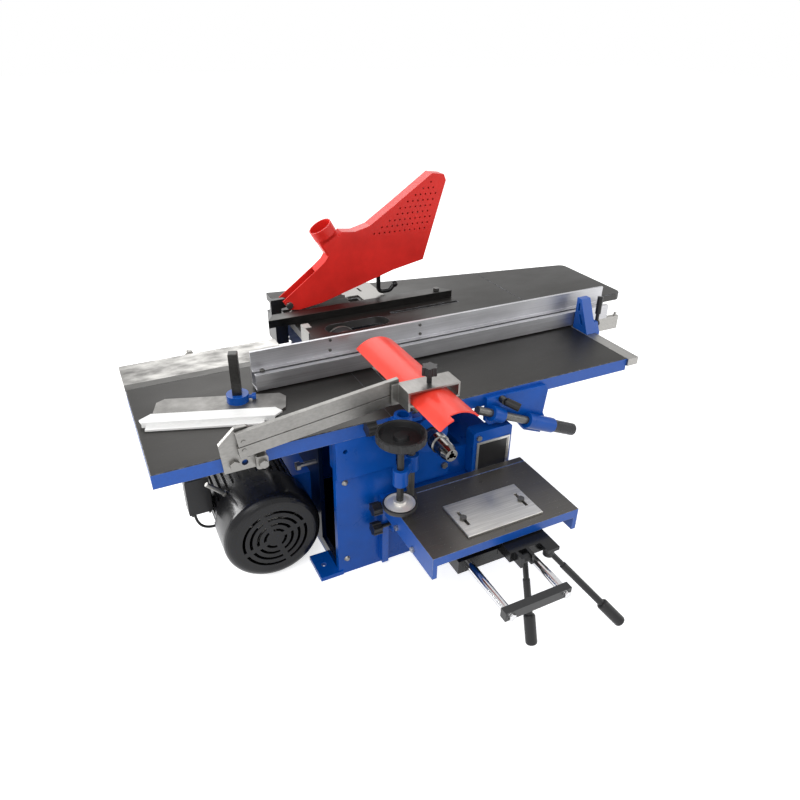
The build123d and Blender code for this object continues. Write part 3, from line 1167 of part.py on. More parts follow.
def guard_post():
    """Upright plate at the left end of the saw table that carries the saw guard's pivot."""
    px, pz = HOOD_PIVOT
    left, right = SAW_LEFT - GUARD_POST_OUT, SAW_LEFT - SLOT_CLEARANCE
    low, high = TABLE_TOP - GUARD_POST_DROP, TABLE_TOP + GUARD_POST_RISE
    points = [(left, low), (right, low), (right, pz - 12), (px, pz - 9), (px + 9, pz - 4), (px + 9, pz + 8),
              (px - 6, high), (left, high)]
    body = plate_xz(points, (BLADE_Y - 6, BLADE_Y + 6))
    body += block((left, SAW_LEFT), (BLADE_Y - 34, BLADE_Y + 34), (low, TABLE_TOP - 1))
    body += along_y(px, pz, (HOOD_FRONT - 5, HOOD_BACK + 5), HOOD_PIN_RADIUS)
    return body + along_y(px, pz, (HOOD_FRONT - 8, HOOD_FRONT - SLIDE), 9)


def hood_block():
    """Outer form of the saw guard before it is hollowed."""
    return plate_xz(HOOD_OUTLINE, (HOOD_FRONT, HOOD_BACK))


def nozzle_form(inset, past):
    """Neck as wide as the hood that spreads into a round spigot; with an inset, its bore."""
    across = NOZZLE_AXIS.cross(Vector(0, -1, 0))
    low, mid, high = -NOZZLE_SINK, NOZZLE_NECK_LENGTH, (NOZZLE_LIP - NOZZLE_START).length - NOZZLE_LENGTH
    planes = [Plane(origin=NOZZLE_START + NOZZLE_AXIS * reach, x_dir=across, z_dir=NOZZLE_AXIS)
              for reach in (low, mid, high)]
    neck = Rectangle(2 * (NOZZLE_NECK - inset), HOOD_WIDTH - 2 * inset)
    neck = fillet(neck.vertices(), NOZZLE_CORNER)
    mouth = Circle(NOZZLE_RADIUS - inset)
    body = extrude(planes[0] * neck, mid - low) + loft([planes[1] * neck, planes[2] * mouth])
    return body + extrude(planes[2] * mouth, NOZZLE_LENGTH + past)


def hood_holes():
    """Places of the small holes, in staggered rows inside the upper corner of the hood."""
    field = Polygon(*HOOD_HOLE_CORNERS, align=None)
    box = field.bounding_box()
    rows = int((box.max.Y - box.min.Y) / HOOD_HOLE_STEP) + 1
    columns = int((box.max.X - box.min.X) / HOOD_HOLE_STEP) + 1
    places = [Vector(box.min.X + HOOD_HOLE_STEP * (column + 0.5 * (row % 2)),
                     box.min.Y + HOOD_HOLE_STEP * row) for row in range(rows) for column in range(columns)]
    return [place for place in places if field.faces()[0].is_inside(place)]


def saw_guard():
    """Hollow hood, open below, at its foot and into the nozzle, with a field of small holes."""
    room = offset(Polygon(*HOOD_OUTLINE, align=None), -HOOD_WALL)
    room += Polygon(*HOOD_MOUTH, align=None)
    room += Polygon(*HOOD_FOOT, align=None)
    inside = extrude(front_plane(0, HOOD_INSIDE[1], 0) * room, HOOD_WIDTH - 2 * HOOD_WALL, dir=(0, -1, 0))
    body = hood_block() - inside - nozzle_form(HOOD_WALL, 1.0)
    through = (HOOD_FRONT - 1, HOOD_BACK + 1)
    body -= [along_y(place.X, place.Y, through, HOOD_HOLE_RADIUS) for place in hood_holes()]
    return body - along_y(*HOOD_PIVOT, through, HOOD_PIN_RADIUS + RUN)


def dust_nozzle():
    """Dust nozzle on the upper edge of the hood."""
    return nozzle_form(0.0, 0.0) - nozzle_form(HOOD_WALL, 1.0) - hood_block()


def guard_hook():
    """Prop with a curled foot and ball end, fixed between the cheeks of the saw guard."""
    low = TABLE_TOP + 13
    points = [(HOOK_X, BLADE_Y, HOOK_TOP), (HOOK_X, BLADE_Y, low), (HOOK_X + 34, BLADE_Y, low),
              (HOOK_X + 48, BLADE_Y, low + 14)]
    start = Plane(origin=points[0], z_dir=(0, 0, -1))
    body = sweep(start * Circle(HOOK_RADIUS), path=FilletPolyline(*points, radius=[14, 12]))
    body += Pos(HOOK_X + 50, BLADE_Y, low + 16) * Sphere(HOOK_BALL)
    return body + block((HOOK_X - 8, HOOK_X + 8), HOOD_INSIDE, (HOOK_TOP - 7, HOOK_TOP + 8))


def lift_bracket():
    """Plate that slides up and down on the front wall and carries the cross rods."""
    body = block((LIFT_LEFT, LIFT_RIGHT), (LIFT_FRONT, -BASE_Y - SLIDE), (LIFT_BOTTOM, LIFT_TOP))
    inset = GIB_LIP + 2
    front = LIFT_FRONT - LIFT_BLOCK
    body += block((LIFT_LEFT + inset, LIFT_RIGHT - inset), (front, LIFT_FRONT),
                  (LIFT_BOTTOM + 10, LIFT_TOP - 3))
    for z in KNOB_ZS:
        body -= along_x(LIFT_KNOB_Y, z, (LIFT_LEFT, LIFT_LEFT + 28), SMALL_STEM_RADIUS + RUN)
    for x in ROD_XS:
        body -= along_y(x, ROD_Z, (front - 1, LIFT_FRONT - 2), ROD_RADIUS + FIT)
    return body


def lift_knob(z):
    """Star knob that locks the lift bracket."""
    seat = (LIFT_LEFT + 26, LIFT_KNOB_Y, z)
    return star_knob(seat, (-1, 0, 0), LIFT_KNOB_RADIUS, 20, SMALL_STEM_RADIUS, 42)


def cross_rods():
    """Two chrome rods along Y with a crossbar and its end bolts at the front."""
    made = block((ROD_XS[0] - 12, ROD_XS[1] + 12), (ROD_FRONT, ROD_FRONT + CROSSBAR),
                 (ROD_Z - 10, ROD_Z + 10))
    for x in ROD_XS:
        made += along_y(x, ROD_Z, (ROD_FRONT + 8, LIFT_FRONT - 3), ROD_RADIUS)
        made += hex_head((x, ROD_FRONT, ROD_Z), (0, -1, 0), 13, 6)
    return made


def mortise_carriage():
    """Carriage on the cross rods, with guide blocks on top and the forked lever bracket in front."""
    front = CARRIAGE_FRONT
    body = block((ROD_XS[0] - CARRIAGE_SIDE, ROD_XS[1] + CARRIAGE_SIDE), (front, CARRIAGE_BACK),
                 (ROD_Z - CARRIAGE_HALF, ROD_Z + CARRIAGE_HALF))
    for y in GUIDE_YS:
        body += block((28, 78), (y - 13, y + 13), (ROD_Z + CARRIAGE_HALF - 1, GUIDE_Z + 12))
    left, right = TRAVEL_LEVER_X - 25, CROSS_LEVER_X + 14
    low, top = ROD_Z + ROD_RADIUS + AIR, LEVER_BRACKET_TOP
    body += block((left, ROD_XS[1] + CARRIAGE_SIDE), (front - 1, front + 17), (ROD_Z, top))
    body += block((left, right), (front - 40, front), (low, top))
    body += block((CROSS_LEVER_X - 14, right), (LEVER_Y - 13, front), (top - 8, top))
    for x in (TRAVEL_LEVER_X - 15, TRAVEL_LEVER_X + 9):
        body += block((x, x + 6), (LEVER_Y - 10, front), (low, top))
    body += along_x(LEVER_Y, LEVER_Z, (TRAVEL_LEVER_X - 12, TRAVEL_LEVER_X + 12), PIN_RADIUS)
    body += upright(CROSS_LEVER_X, LEVER_Y, (low - 2, top), PIN_RADIUS)
    for x in ROD_XS:
        body -= along_y(x, ROD_Z, (front - 41, CARRIAGE_BACK + 1), ROD_RADIUS + RUN)
    for y in GUIDE_YS:
        body -= along_x(y, GUIDE_Z, (0, 140), GUIDE_RADIUS + RUN)
    return body


def lever(root, end, hub):
    """Hand lever: hub, slim neck, rod and a rounded grip."""
    root, end = Vector(*root), Vector(*end)
    along = (end - root).normalized()
    grip = bar(end - along * LEVER_GRIP_LENGTH, end, LEVER_GRIP)
    grip = fillet(grip.edges().filter_by(GeomType.CIRCLE), LEVER_ROUNDING)
    neck = bar(root + along * (PIN_RADIUS + 1), root + along * LEVER_NECK, LEVER_RADIUS)
    return hub + neck + bar(root + along * (LEVER_NECK - 1), end - along * LEVER_ROUNDING, LEVER_ROD) + grip


def travel_lever():
    """Lever that draws the carriage along the cross rods."""
    hub_xs = (TRAVEL_LEVER_X - 9 + SLIDE, TRAVEL_LEVER_X + 9 - SLIDE)
    hub = along_x(LEVER_Y, LEVER_Z, hub_xs, 8.5)
    made = lever((TRAVEL_LEVER_X, LEVER_Y, LEVER_Z), TRAVEL_END, hub)
    return made - along_x(LEVER_Y, LEVER_Z, hub_xs, PIN_RADIUS + RUN)


def cross_lever():
    """Lever that moves the mortise table sideways."""
    zs = (ROD_Z + ROD_RADIUS + 3, LEVER_BRACKET_TOP - 8 - SLIDE)
    hub = upright(CROSS_LEVER_X, LEVER_Y, zs, 11)
    made = lever((CROSS_LEVER_X, LEVER_Y, sum(zs) / 2), CROSS_END, hub)
    return made - upright(CROSS_LEVER_X, LEVER_Y, (zs[0] - 1, zs[1] + 1), PIN_RADIUS + RUN)


def mortise_table():
    """Table with side flanges, a front lip and a groove along the back."""
    xs = (MORTISE_LEFT, MORTISE_RIGHT)
    ys = (MORTISE_FRONT, MORTISE_BACK)
    top = MORTISE_TOP
    body = block(xs, ys, (top - MORTISE_PLATE, top))
    for side in ((xs[0], xs[0] + MORTISE_FLANGE_WALL), (xs[1] - MORTISE_FLANGE_WALL, xs[1])):
        body += block(side, ys, (top - MORTISE_FLANGE, top))
    body += block(xs, (ys[0], ys[0] + MORTISE_LIP_WALL), (top - MORTISE_LIP, top))
    body -= block((xs[0] - 1, xs[1] + 1), (ys[1] - 18, ys[1] - 15), (top - 1.5, top + 1))
    for y in GUIDE_YS:
        body -= along_x(y, GUIDE_Z, (xs[0] + 2, xs[1] - 2), GUIDE_RADIUS + FIT)
    return body


def mortise_fittings():
    """Guide rods under the mortise table, its flange and stop bolts, and the clamp's column."""
    made = upright(COLUMN_X, COLUMN_Y, (MORTISE_TOP, MORTISE_TOP + COLUMN_HEIGHT), COLUMN_RADIUS)
    made += upright(COLUMN_X, COLUMN_Y, (MORTISE_TOP, MORTISE_TOP + 8), COLUMN_RADIUS + 6)
    for y in GUIDE_YS:
        made += along_x(y, GUIDE_Z, (MORTISE_LEFT + 3, MORTISE_RIGHT - 3), GUIDE_RADIUS)
    for y in (MORTISE_BACK - 55, MORTISE_BACK - 124):
        made += hex_head((MORTISE_LEFT, y, MORTISE_TOP - 38), (-1, 0, 0), 11, 5)
    seat = MORTISE_TOP + 2 * SLIDE + STOP_THICK
    for x in STOP_SLOT_XS:
        made += upright(x, STOP_Y, (MORTISE_TOP, seat + 1), STOP_BOLT_RADIUS)
        made += hex_head((x, STOP_Y, seat), (0, 0, 1), 13, 4)
    return made


def stop_plate():
    """Plate with two long slots, set along the mortise table."""
    low = MORTISE_TOP + SLIDE
    half = STOP_DEPTH / 2
    body = block((STOP_LEFT, STOP_LEFT + STOP_WIDTH), (STOP_Y - half, STOP_Y + half), (low, low + STOP_THICK))
    body = chamfer(body.edges().group_by(Axis.Z)[-1], 1)
    reach = STOP_TRAVEL + STOP_BOLT_RADIUS
    for x in STOP_SLOT_XS:
        body -= block((x - STOP_SLOT / 2, x + STOP_SLOT / 2), (STOP_Y - reach, STOP_Y + reach),
                      (low - 1, low + STOP_THICK + 1))
    return body


def clamp_arm():
    """Short arm on the column with the nut sleeve of the clamp screw."""
    reach = Vector(CLAMP_X - COLUMN_X, CLAMP_Y - COLUMN_Y, 0)
    turn = degrees(atan2(reach.Y, reach.X))
    zs = (CLAMP_ARM_BOTTOM, CLAMP_ARM_TOP)
    middle = Vector(COLUMN_X, COLUMN_Y, sum(zs) / 2) + reach * 0.5
    through = (zs[0] - 1, zs[1] + 1)
    body = Pos(*middle) * Rot(0, 0, turn) * Box(reach.length, 14, CLAMP_ARM_HEIGHT - 12)
    body += upright(COLUMN_X, COLUMN_Y, zs, CLAMP_BOSS)
    body += upright(CLAMP_X, CLAMP_Y, zs, CLAMP_BOSS)
    body -= upright(COLUMN_X, COLUMN_Y, through, COLUMN_RADIUS + FIT)
    return body - upright(CLAMP_X, CLAMP_Y, through, SCREW_RADIUS + RUN)


def clamp_handwheel():
    """Dished handwheel with a fluted rim, on the clamp screw."""
    low, high, r = WHEEL_BOTTOM, WHEEL_BOTTOM + WHEEL_HEIGHT, WHEEL_RADIUS
    profile = [(0, low), (14, low), (16, low + 5), (r - 4, low + 5), (r, low + 9), (r, high - 2),
               (r - 3, high), (r - 6, high - 2), (r - 9, low + 12), (16, low + 11), (13, low + 18),
               (0, low + 18)]
    body = turned_z(profile, CLAMP_X, CLAMP_Y)
    for index in range(WHEEL_FLUTES):
        angle = radians(360.0 / WHEEL_FLUTES * index)
        reach = r + FLUTE_RADIUS - 1.6
        x, y = CLAMP_X + reach * cos(angle), CLAMP_Y + reach * sin(angle)
        body -= upright(x, y, (low, high + 1), FLUTE_RADIUS)
    return body + upright(CLAMP_X, CLAMP_Y, (PAD_SEAT + SLIDE, low + 1), SCREW_RADIUS)


def clamp_pad():
    """Round pad with a dished face, a soft rim and the socket of the clamp screw."""
    z, r, bore = PAD_Z, PAD_RADIUS, SCREW_RADIUS + RUN
    profile = [(0, z), (r, z), (r + 1, z + 4), (r, z + 8), (r - 4, z + 9), (r - 8, z + 7),
               (PAD_SOCKET, z + 10), (PAD_SOCKET, z + 16), (bore, z + 16), (bore, PAD_SEAT), (0, PAD_SEAT)]
    return turned_z(profile, CLAMP_X, CLAMP_Y)


NODES = {
    "base_frame": base_frame(),
    "front_cover": front_cover(),
    "bearing_brackets": bearing_brackets(),
    "saw_bracket": saw_bracket(),
    "spindle_bearings": spindle_bearings(),
    "spindle_shaft": spindle_shaft(),
    "cutterblock": cutterblock(),
    "saw_blade": saw_blade(),
    "drill_chuck": drill_chuck(),
    "drive_belt": drive_belt(),
    "motor_frame": motor_frame(),
    "motor_cowl": motor_cowl(),
    "motor_rotor": motor_rotor(),
    "motor_cradle": motor_cradle(),
    "switch_box": switch_box(),
    "motor_lead": motor_lead(),
    "feed_housing": feed_housing(),
    "name_plate": name_plate(),
    "fasteners": fasteners(),
    "outfeed_table": outfeed_table(),
    "infeed_table": infeed_table(),
    "rear_plate": rear_plate(),
    "infeed_bracket": infeed_bracket(),
    "height_screw": height_screw(),
    "table_lock_lever": table_lock_lever(),
    "fence_rail": fence_rail(),
    "fence_bracket": fence_bracket(),
    "fence_profile": fence_profile(),
    "fence_lock_lever": fence_lock_lever(),
    "arm_base": arm_base(),
    "upper_link": upper_link(),
    "lower_link": lower_link(),
    "guard_head": guard_head(),
    "head_knob": head_knob(),
    "bridge_guard": bridge_guard(),
    "post_socket": post_socket(),
    "socket_knob": socket_knob(),
    "press_shoe": press_shoe(),
    "shoe_collar": shoe_collar(),
    "shoe_post": shoe_post(),
    "saw_table": saw_table(),
    "saw_fittings": saw_fittings(),
    "mitre_bar": mitre_bar(),
    "guard_post": guard_post(),
    "saw_guard": saw_guard(),
    "dust_nozzle": dust_nozzle(),
    "guard_hook": guard_hook(),
    "lift_bracket": lift_bracket(),
    "lift_knob_upper": lift_knob(KNOB_ZS[0]),
    "lift_knob_lower": lift_knob(KNOB_ZS[1]),
    "cross_rods": cross_rods(),
    "mortise_carriage": mortise_carriage(),
    "travel_lever": travel_lever(),
    "cross_lever": cross_lever(),
    "mortise_table": mortise_table(),
    "mortise_fittings": mortise_fittings(),
    "stop_plate": stop_plate(),
    "clamp_arm": clamp_arm(),
    "clamp_handwheel": clamp_handwheel(),
    "clamp_pad": clamp_pad(),
}

os.makedirs("parts", exist_ok=True)
for name, shape in NODES.items():
    export_step(shape, f"parts/{name}.step")
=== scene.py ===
"""Finishes, small fittings and studio for a bench combination woodworking machine."""
from math import cos, pi, radians, sin

import bmesh
import bpy
from bpy.props import FloatProperty, FloatVectorProperty, PointerProperty
from mathutils import Matrix, Vector


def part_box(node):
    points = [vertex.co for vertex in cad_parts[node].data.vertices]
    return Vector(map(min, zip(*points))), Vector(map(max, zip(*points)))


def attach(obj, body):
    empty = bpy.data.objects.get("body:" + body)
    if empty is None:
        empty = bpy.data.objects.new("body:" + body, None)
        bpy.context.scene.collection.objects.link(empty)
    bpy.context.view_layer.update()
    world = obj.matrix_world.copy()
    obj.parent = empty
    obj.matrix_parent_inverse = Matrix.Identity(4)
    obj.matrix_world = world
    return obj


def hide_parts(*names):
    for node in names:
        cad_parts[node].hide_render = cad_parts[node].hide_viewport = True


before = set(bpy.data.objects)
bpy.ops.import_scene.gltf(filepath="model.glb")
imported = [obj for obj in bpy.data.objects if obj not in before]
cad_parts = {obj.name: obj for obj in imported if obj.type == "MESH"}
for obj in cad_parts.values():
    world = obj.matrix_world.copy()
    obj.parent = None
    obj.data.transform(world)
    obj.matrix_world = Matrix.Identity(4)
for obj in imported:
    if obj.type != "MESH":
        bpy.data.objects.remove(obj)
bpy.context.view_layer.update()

bl_info = {
    "name": "Combination Woodworking Machine",
    "version": (1, 0, 0),
    "blender": (4, 5, 0),
    "location": "View3D > Sidebar > Machine",
    "description": "Finishes, fittings and studio for a planer, saw and mortiser on one base",
    "category": "Object",
}

# Camera of the picture: place in metres, then the directions of its right, top and back.
CAMERA_PLACE = (-0.5684, -1.1786, 1.0569)
CAMERA_AXES = ((0.8939, -0.4480, 0.0157), (0.2118, 0.4529, 0.8660), (-0.3951, -0.7708, 0.4998))
CAMERA_LENS = 29.88
CAMERA_SENSOR = 36.0

# Route of the lead from the switch box to the motor's gland.
LEAD_ROUTE = ((-0.449, 0.023, 0.116), (-0.449, 0.023, 0.066), (-0.4107, 0.023, 0.066))

# Directions of the machine: X to the right, Y to the back, Z up.
RIGHT = (1.0, 0.0, 0.0)
LEFT = (-1.0, 0.0, 0.0)
BACK = (0.0, 1.0, 0.0)
FRONT = (0.0, -1.0, 0.0)
UP = (0.0, 0.0, 1.0)
DOWN = (0.0, 0.0, -1.0)

# Fixed colours, as linear light.
CHROME = (0.62, 0.62, 0.63)
BARE_EDGE = (0.30, 0.32, 0.36)
MARK_INK = (0.02, 0.02, 0.02)
STRIP_WHITES = ((0.80, 0.80, 0.79), (0.88, 0.88, 0.87))
FLOOR_WHITE = (0.86, 0.86, 0.86)
FLOOR_PAINTED_SHADE = (0.004, 0.004, 0.004)

# Tones of the bare metals, as shares of the iron and steel colours.
MORTISE_TONE = 3.9
SAW_SIDES_TONE = 1.1
MILLED_TONE = 0.56
BRUSHED_TONE = 1.2
THROAT_TONE = 0.62
BOLT_TONE = 0.10
DARK_TONE = 0.12
GUNMETAL_TONE = 0.42
SCREW_TONE = 0.22

# Widths of the rubbed edges on the fence bracket and the fence.
BRACKET_WEAR = 0.0012
FENCE_WEAR = 0.0010

# Planes and places where one node changes its finish.
FENCE_BAR_X = 0.5725
PLATE_RECESS_Y = -0.2072
PLATE_BORDER = 0.0065
# Width of the painted shadow band along the front of the rear plate.
REAR_SHADOW_BAND = 0.024
STRIP_LIMIT = 0.047
SHOE_TURN = radians(-18.5)
SHOE_POST = (-0.332, -0.004)
PAD_AXIS = (-0.100, -0.272, 0.0)
PAD_RIM = 0.0305
PIVOT_AXIS = (-0.092, 0.0, 0.404)
PIVOT_HEAD = 0.0094
CROSSBAR_YS = (-0.5402, -0.5238)
SIDE_BOLTS_X = -0.1032
GIB_XS = (-0.103, 0.149)
GIB_TOP = 0.192
BAR_BOLT_X = 0.25

# Corner of the base beside the motor, past which its paint is darkened to near black as painted shade:
# X, Y and Z.
PAINTED_SHADE_CORNER = (-0.1835, -0.1615, 0.0105)

# Marks on the fence rail: the two steps, their width, and where the short and the long ones start.
MARK_STEP = 0.005
MARK_LONG_STEP = 0.010
MARK_WIDTH = 0.0006
MARK_SHORT_X = 0.554
MARK_LONG_X = 0.549

# Knurled grip of the height screw: a point on its axis, its slope, where the grip starts,
# then the arc for one radian, half the pitch of the diamonds, and the gain that makes them one high.
GRIP_START = (0.175, -0.207, 0.3294)
GRIP_SLOPE = radians(24)
GRIP_X = 0.3135
KNURL_ARC = 0.012
KNURL_HALF_PITCH = 0.0009
KNURL_GAIN = 1100.0

# Screws: their places, and the heights of their heads.
FENCE_SCREWS = ((-0.112, 0.4535), (-0.113, 0.430), (0.107, 0.449), (0.108, 0.427))
FENCE_FACE_Y = 0.046
FENCE_SCREW_HEIGHT = 0.0024
SLOT_BOLT_PLACE = (-0.269, 0.0298, 0.420)
SLOT_BOLT_HEIGHT = 0.0045
GRUB_SCREWS = ((0.064, -0.403), (0.101, -0.254), (0.028, -0.253))
MORTISE_TOP = 0.210
GRUB_HEIGHT = 0.0002
BOX_SCREW_INSET = 0.007
BOX_SCREW_RADIUS = 0.0028
BOX_SCREW_HEIGHT = 0.0012

# Sheet behind the drive belt, with a hole for the spindle.
SHEET_XS = (-0.060, 0.130)
SHEET_ZS = (0.2002, 0.3565)
SHEET_Y = 0.2885
SHEET_THICK = 0.002
SHEET_HOLE = 0.030
SHAFT_Z = 0.330

# Studio: half the width of the floor, its glow, half the sides of the patch of painted shade inside the
# base, and the lamps with their place, target, size and share of the key or fill level.
FLOOR_REACH = 14.0
FLOOR_LIFT = 0.66
BASE_INSIDE = (0.19, 0.17)
LAMPS = {
    "key": ((-1.6, -1.9, 2.6), (0.0, 0.0, 0.3), 2.0, 1.0),
    "fill": ((2.4, -1.6, 1.6), (0.2, 0.0, 0.3), 1.6, 1.0),
    "left": ((-1.9, 1.4, 1.0), (-0.35, -0.1, 0.2), 0.8, 2.0),
    "back": ((0.6, 2.6, 2.2), (0.0, 0.2, 0.4), 2.0, 1.6),
}


def colour_property(name, description, default):
    """Colour that the user may change, held as linear light."""
    return FloatVectorProperty(name=name, description=description, subtype="COLOR", size=3,
                               min=0.0, max=1.0, default=default)


def length_property(name, description, default):
    """Length in metres that the user may change."""
    return FloatProperty(name=name, description=description, subtype="DISTANCE", unit="LENGTH",
                         min=0.0, default=default, precision=4)


class MachineFinish(bpy.types.PropertyGroup):
    """Colours of the paints, metals and mouldings, and the rounding of edges."""

    blue: colour_property("Blue enamel", "Paint of the castings and table edges",
                          (0.0006, 0.070, 0.36))
    black: colour_property("Black enamel", "Paint of the motor and the guard post",
                           (0.008, 0.008, 0.009))
    moulding: colour_property("Black moulding", "Knobs, levers and the switch box",
                              (0.011, 0.011, 0.012))
    guard_red: colour_property("Bridge guard red", "Paint of the planer's bridge guard",
                               (0.86, 0.050, 0.030))
    hood_red: colour_property("Hood red", "Saw guard and its nozzle", (0.70, 0.024, 0.018))
    iron: colour_property("Ground iron", "Ground tops of the tables", (0.027, 0.0255, 0.0235))
    steel: colour_property("Steel", "Machined steel pieces", (0.46, 0.45, 0.43))
    aluminium: colour_property("Aluminium", "Extruded fence", (0.58, 0.58, 0.60))
    edge: length_property("Edge rounding", "Radius that edges are rounded to by wear", 0.0009)


class MachineFittings(bpy.types.PropertyGroup):
    """Sizes of the small fittings that are added to the machine."""

    screw: length_property("Fence screw radius", "Head radius of the fence screws", 0.0035)
    slot_bolt: length_property("Slot bolt radius", "Head radius of the bolt in the fence ledge", 0.00546)
    grub: length_property("Grub screw radius", "Radius of the grub screws in the mortise table", 0.0040)
    lead: length_property("Lead diameter", "Outer diameter of the motor lead", 0.006)


class MachineStudio(bpy.types.PropertyGroup):
    """Levels of the studio light."""

    key: FloatProperty(name="Key light", description="Power of the large lamp",
                       unit="POWER", default=46.0)
    fill: FloatProperty(name="Fill light", description="Power of the side lamp",
                        unit="POWER", default=16.0)
    sky: FloatProperty(name="Surround", description="Level of the white surround", default=0.62)


def node(tree, kind, inputs=None, **settings):
    """Adds a shader node, sets its options, then fills or links its inputs."""
    made = tree.nodes.new("ShaderNode" + kind)
    for key, value in settings.items():
        setattr(made, key, value)
    for key, value in (inputs or {}).items():
        if isinstance(value, bpy.types.NodeSocket):
            tree.links.new(value, made.inputs[key])
        else:
            made.inputs[key].default_value = value
    return made


def tint(colour, factor=1.0):
    """Colour lightened or darkened."""
    return tuple(min(1.0, part * factor) for part in colour)


def shade(colour, factor=1.0):
    """Colour with alpha, lightened or darkened."""
    return tint(colour, factor) + (1.0,)


def math(tree, operation, first, second=0.0):
    """One arithmetic step."""
    return node(tree, "Math", {0: first, 1: second}, operation=operation).outputs[0]


def span(tree, value, low, high, to_low=0.0, to_high=1.0):
    """Value carried from one range to another, held at its ends."""
    inputs = {"Value": value, "From Min": low, "From Max": high, "To Min": to_low, "To Max": to_high}
    return node(tree, "MapRange", inputs).outputs["Result"]


def mixed(tree, mask, low, high):
    """Colour between two colours."""
    return node(tree, "Mix", {0: mask, 6: low, 7: high}, data_type="RGBA").outputs[2]


def shared(tree, name, output, inputs=None):
    """Output of one of the shared groups, placed in a material."""
    return node(tree, "Group", inputs, node_tree=bpy.data.node_groups[name]).outputs[output]


def mottle(tree, *stretch):
    """Soft patches, with their number in a metre along each axis; one number serves all three."""
    if len(stretch) == 1:
        stretch = stretch * 3
    return shared(tree, "Mottle", "Value", {"Stretch": stretch})


def past(tree, direction, limit):
    """Mask that is one beyond a plane."""
    return shared(tree, "Past plane", "Mask", {"Direction": direction, "Limit": limit})


def edge_wear(tree, factor):
    """Mask of the rubbed edges, as wide as the edge rounding times a factor."""
    width = bpy.context.scene.machine_finish.edge * factor
    return shared(tree, "Edge wear", "Mask", {"Width": width})


def new_group(name, inputs, output):
    """Empty shared group with named inputs and one output."""
    tree = bpy.data.node_groups.new(name, "ShaderNodeTree")
    for label, (socket, default) in inputs.items():
        made = tree.interface.new_socket(label, in_out="INPUT", socket_type="NodeSocket" + socket)
        made.default_value = default
    tree.interface.new_socket(output, in_out="OUTPUT", socket_type="NodeSocketFloat")
    return tree, tree.nodes.new("NodeGroupInput").outputs, tree.nodes.new("NodeGroupOutput").inputs


def build_edge_wear():
    """Mask that is one along outer edges, broken up where the wear is uneven."""
    tree, given, out = new_group("Edge wear", {"Width": ("Float", 0.001)}, "Mask")
    rounded = node(tree, "Bevel", {"Radius": given["Width"]}, samples=6)
    facing = node(tree, "NewGeometry")
    inputs = {0: rounded.outputs[0], 1: facing.outputs["Normal"]}
    turn = node(tree, "VectorMath", inputs, operation="DOT_PRODUCT").outputs["Value"]
    place = node(tree, "TexCoord").outputs["Object"]
    broken = node(tree, "TexNoise", {"Vector": place, "Scale": 90.0, "Detail": 4.0}).outputs["Fac"]
    edges = span(tree, turn, 0.995, 0.9)
    uneven = span(tree, broken, 0.38, 0.62, 0.15, 1.0)
    tree.links.new(math(tree, "MULTIPLY", edges, uneven), out["Mask"])


def build_mottle():
    """Soft patches, stretched along any axis."""
    tree, given, out = new_group("Mottle", {"Stretch": ("Vector", (9.0, 9.0, 9.0))}, "Value")
    place = node(tree, "TexCoord").outputs["Object"]
    scaled = node(tree, "VectorMath", {0: place, 1: given["Stretch"]}, operation="MULTIPLY").outputs[0]
    noise = node(tree, "TexNoise", {"Vector": scaled, "Scale": 1.0, "Detail": 5.0, "Roughness": 0.6})
    tree.links.new(span(tree, noise.outputs["Fac"], 0.3, 0.7), out["Value"])


def build_past():
    """Mask that is one beyond a plane."""
    inputs = {"Direction": ("Vector", UP), "Limit": ("Float", 0.0)}
    tree, given, out = new_group("Past plane", inputs, "Mask")
    place = node(tree, "TexCoord").outputs["Object"]
    along = node(tree, "VectorMath", {0: place, 1: given["Direction"]}, operation="DOT_PRODUCT")
    tree.links.new(math(tree, "GREATER_THAN", along.outputs["Value"], given["Limit"]), out["Mask"])


def build_facing():
    """Mask that is one on faces turned upwards."""
    tree, given, out = new_group("Facing up", {"Start": ("Float", 0.9)}, "Mask")
    facing = node(tree, "TexCoord").outputs["Normal"]
    height = node(tree, "SeparateXYZ", {0: facing}).outputs["Z"]
    tree.links.new(math(tree, "GREATER_THAN", height, given["Start"]), out["Mask"])


def build_around():
    """Distance from an axis; the flattening drops the axis's own direction."""
    inputs = {"Centre": ("Vector", (0.0, 0.0, 0.0)), "Flatten": ("Vector", (1.0, 1.0, 0.0))}
    tree, given, out = new_group("Around axis", inputs, "Distance")
    place = node(tree, "TexCoord").outputs["Object"]
    flat = node(tree, "VectorMath", {0: place, 1: given["Flatten"]}, operation="MULTIPLY").outputs[0]
    gap = node(tree, "VectorMath", {0: flat, 1: given["Centre"]}, operation="DISTANCE")
    tree.links.new(gap.outputs["Value"], out["Distance"])


def blank(name):
    """New material with its tree and shader."""
    made = bpy.data.materials.new(name)
    made.use_nodes = True
    return made, made.node_tree, made.node_tree.nodes["Principled BSDF"]


def wire(tree, shader, **sockets):
    """Feeds the shader's sockets, named with underscores for spaces."""
    for key, value in sockets.items():
        socket = shader.inputs[key.replace("_", " ")]
        if isinstance(value, bpy.types.NodeSocket):
            tree.links.new(value, socket)
        else:
            socket.default_value = value


def relief(tree, height, strength, depth=0.0002):
    """Normal with rounded edges and a fine relief."""
    edge = bpy.context.scene.machine_finish.edge
    rounded = node(tree, "Bevel", {"Radius": edge}, samples=4).outputs[0]
    inputs = {"Height": height, "Strength": strength, "Distance": depth, "Normal": rounded}
    return node(tree, "Bump", inputs).outputs[0]


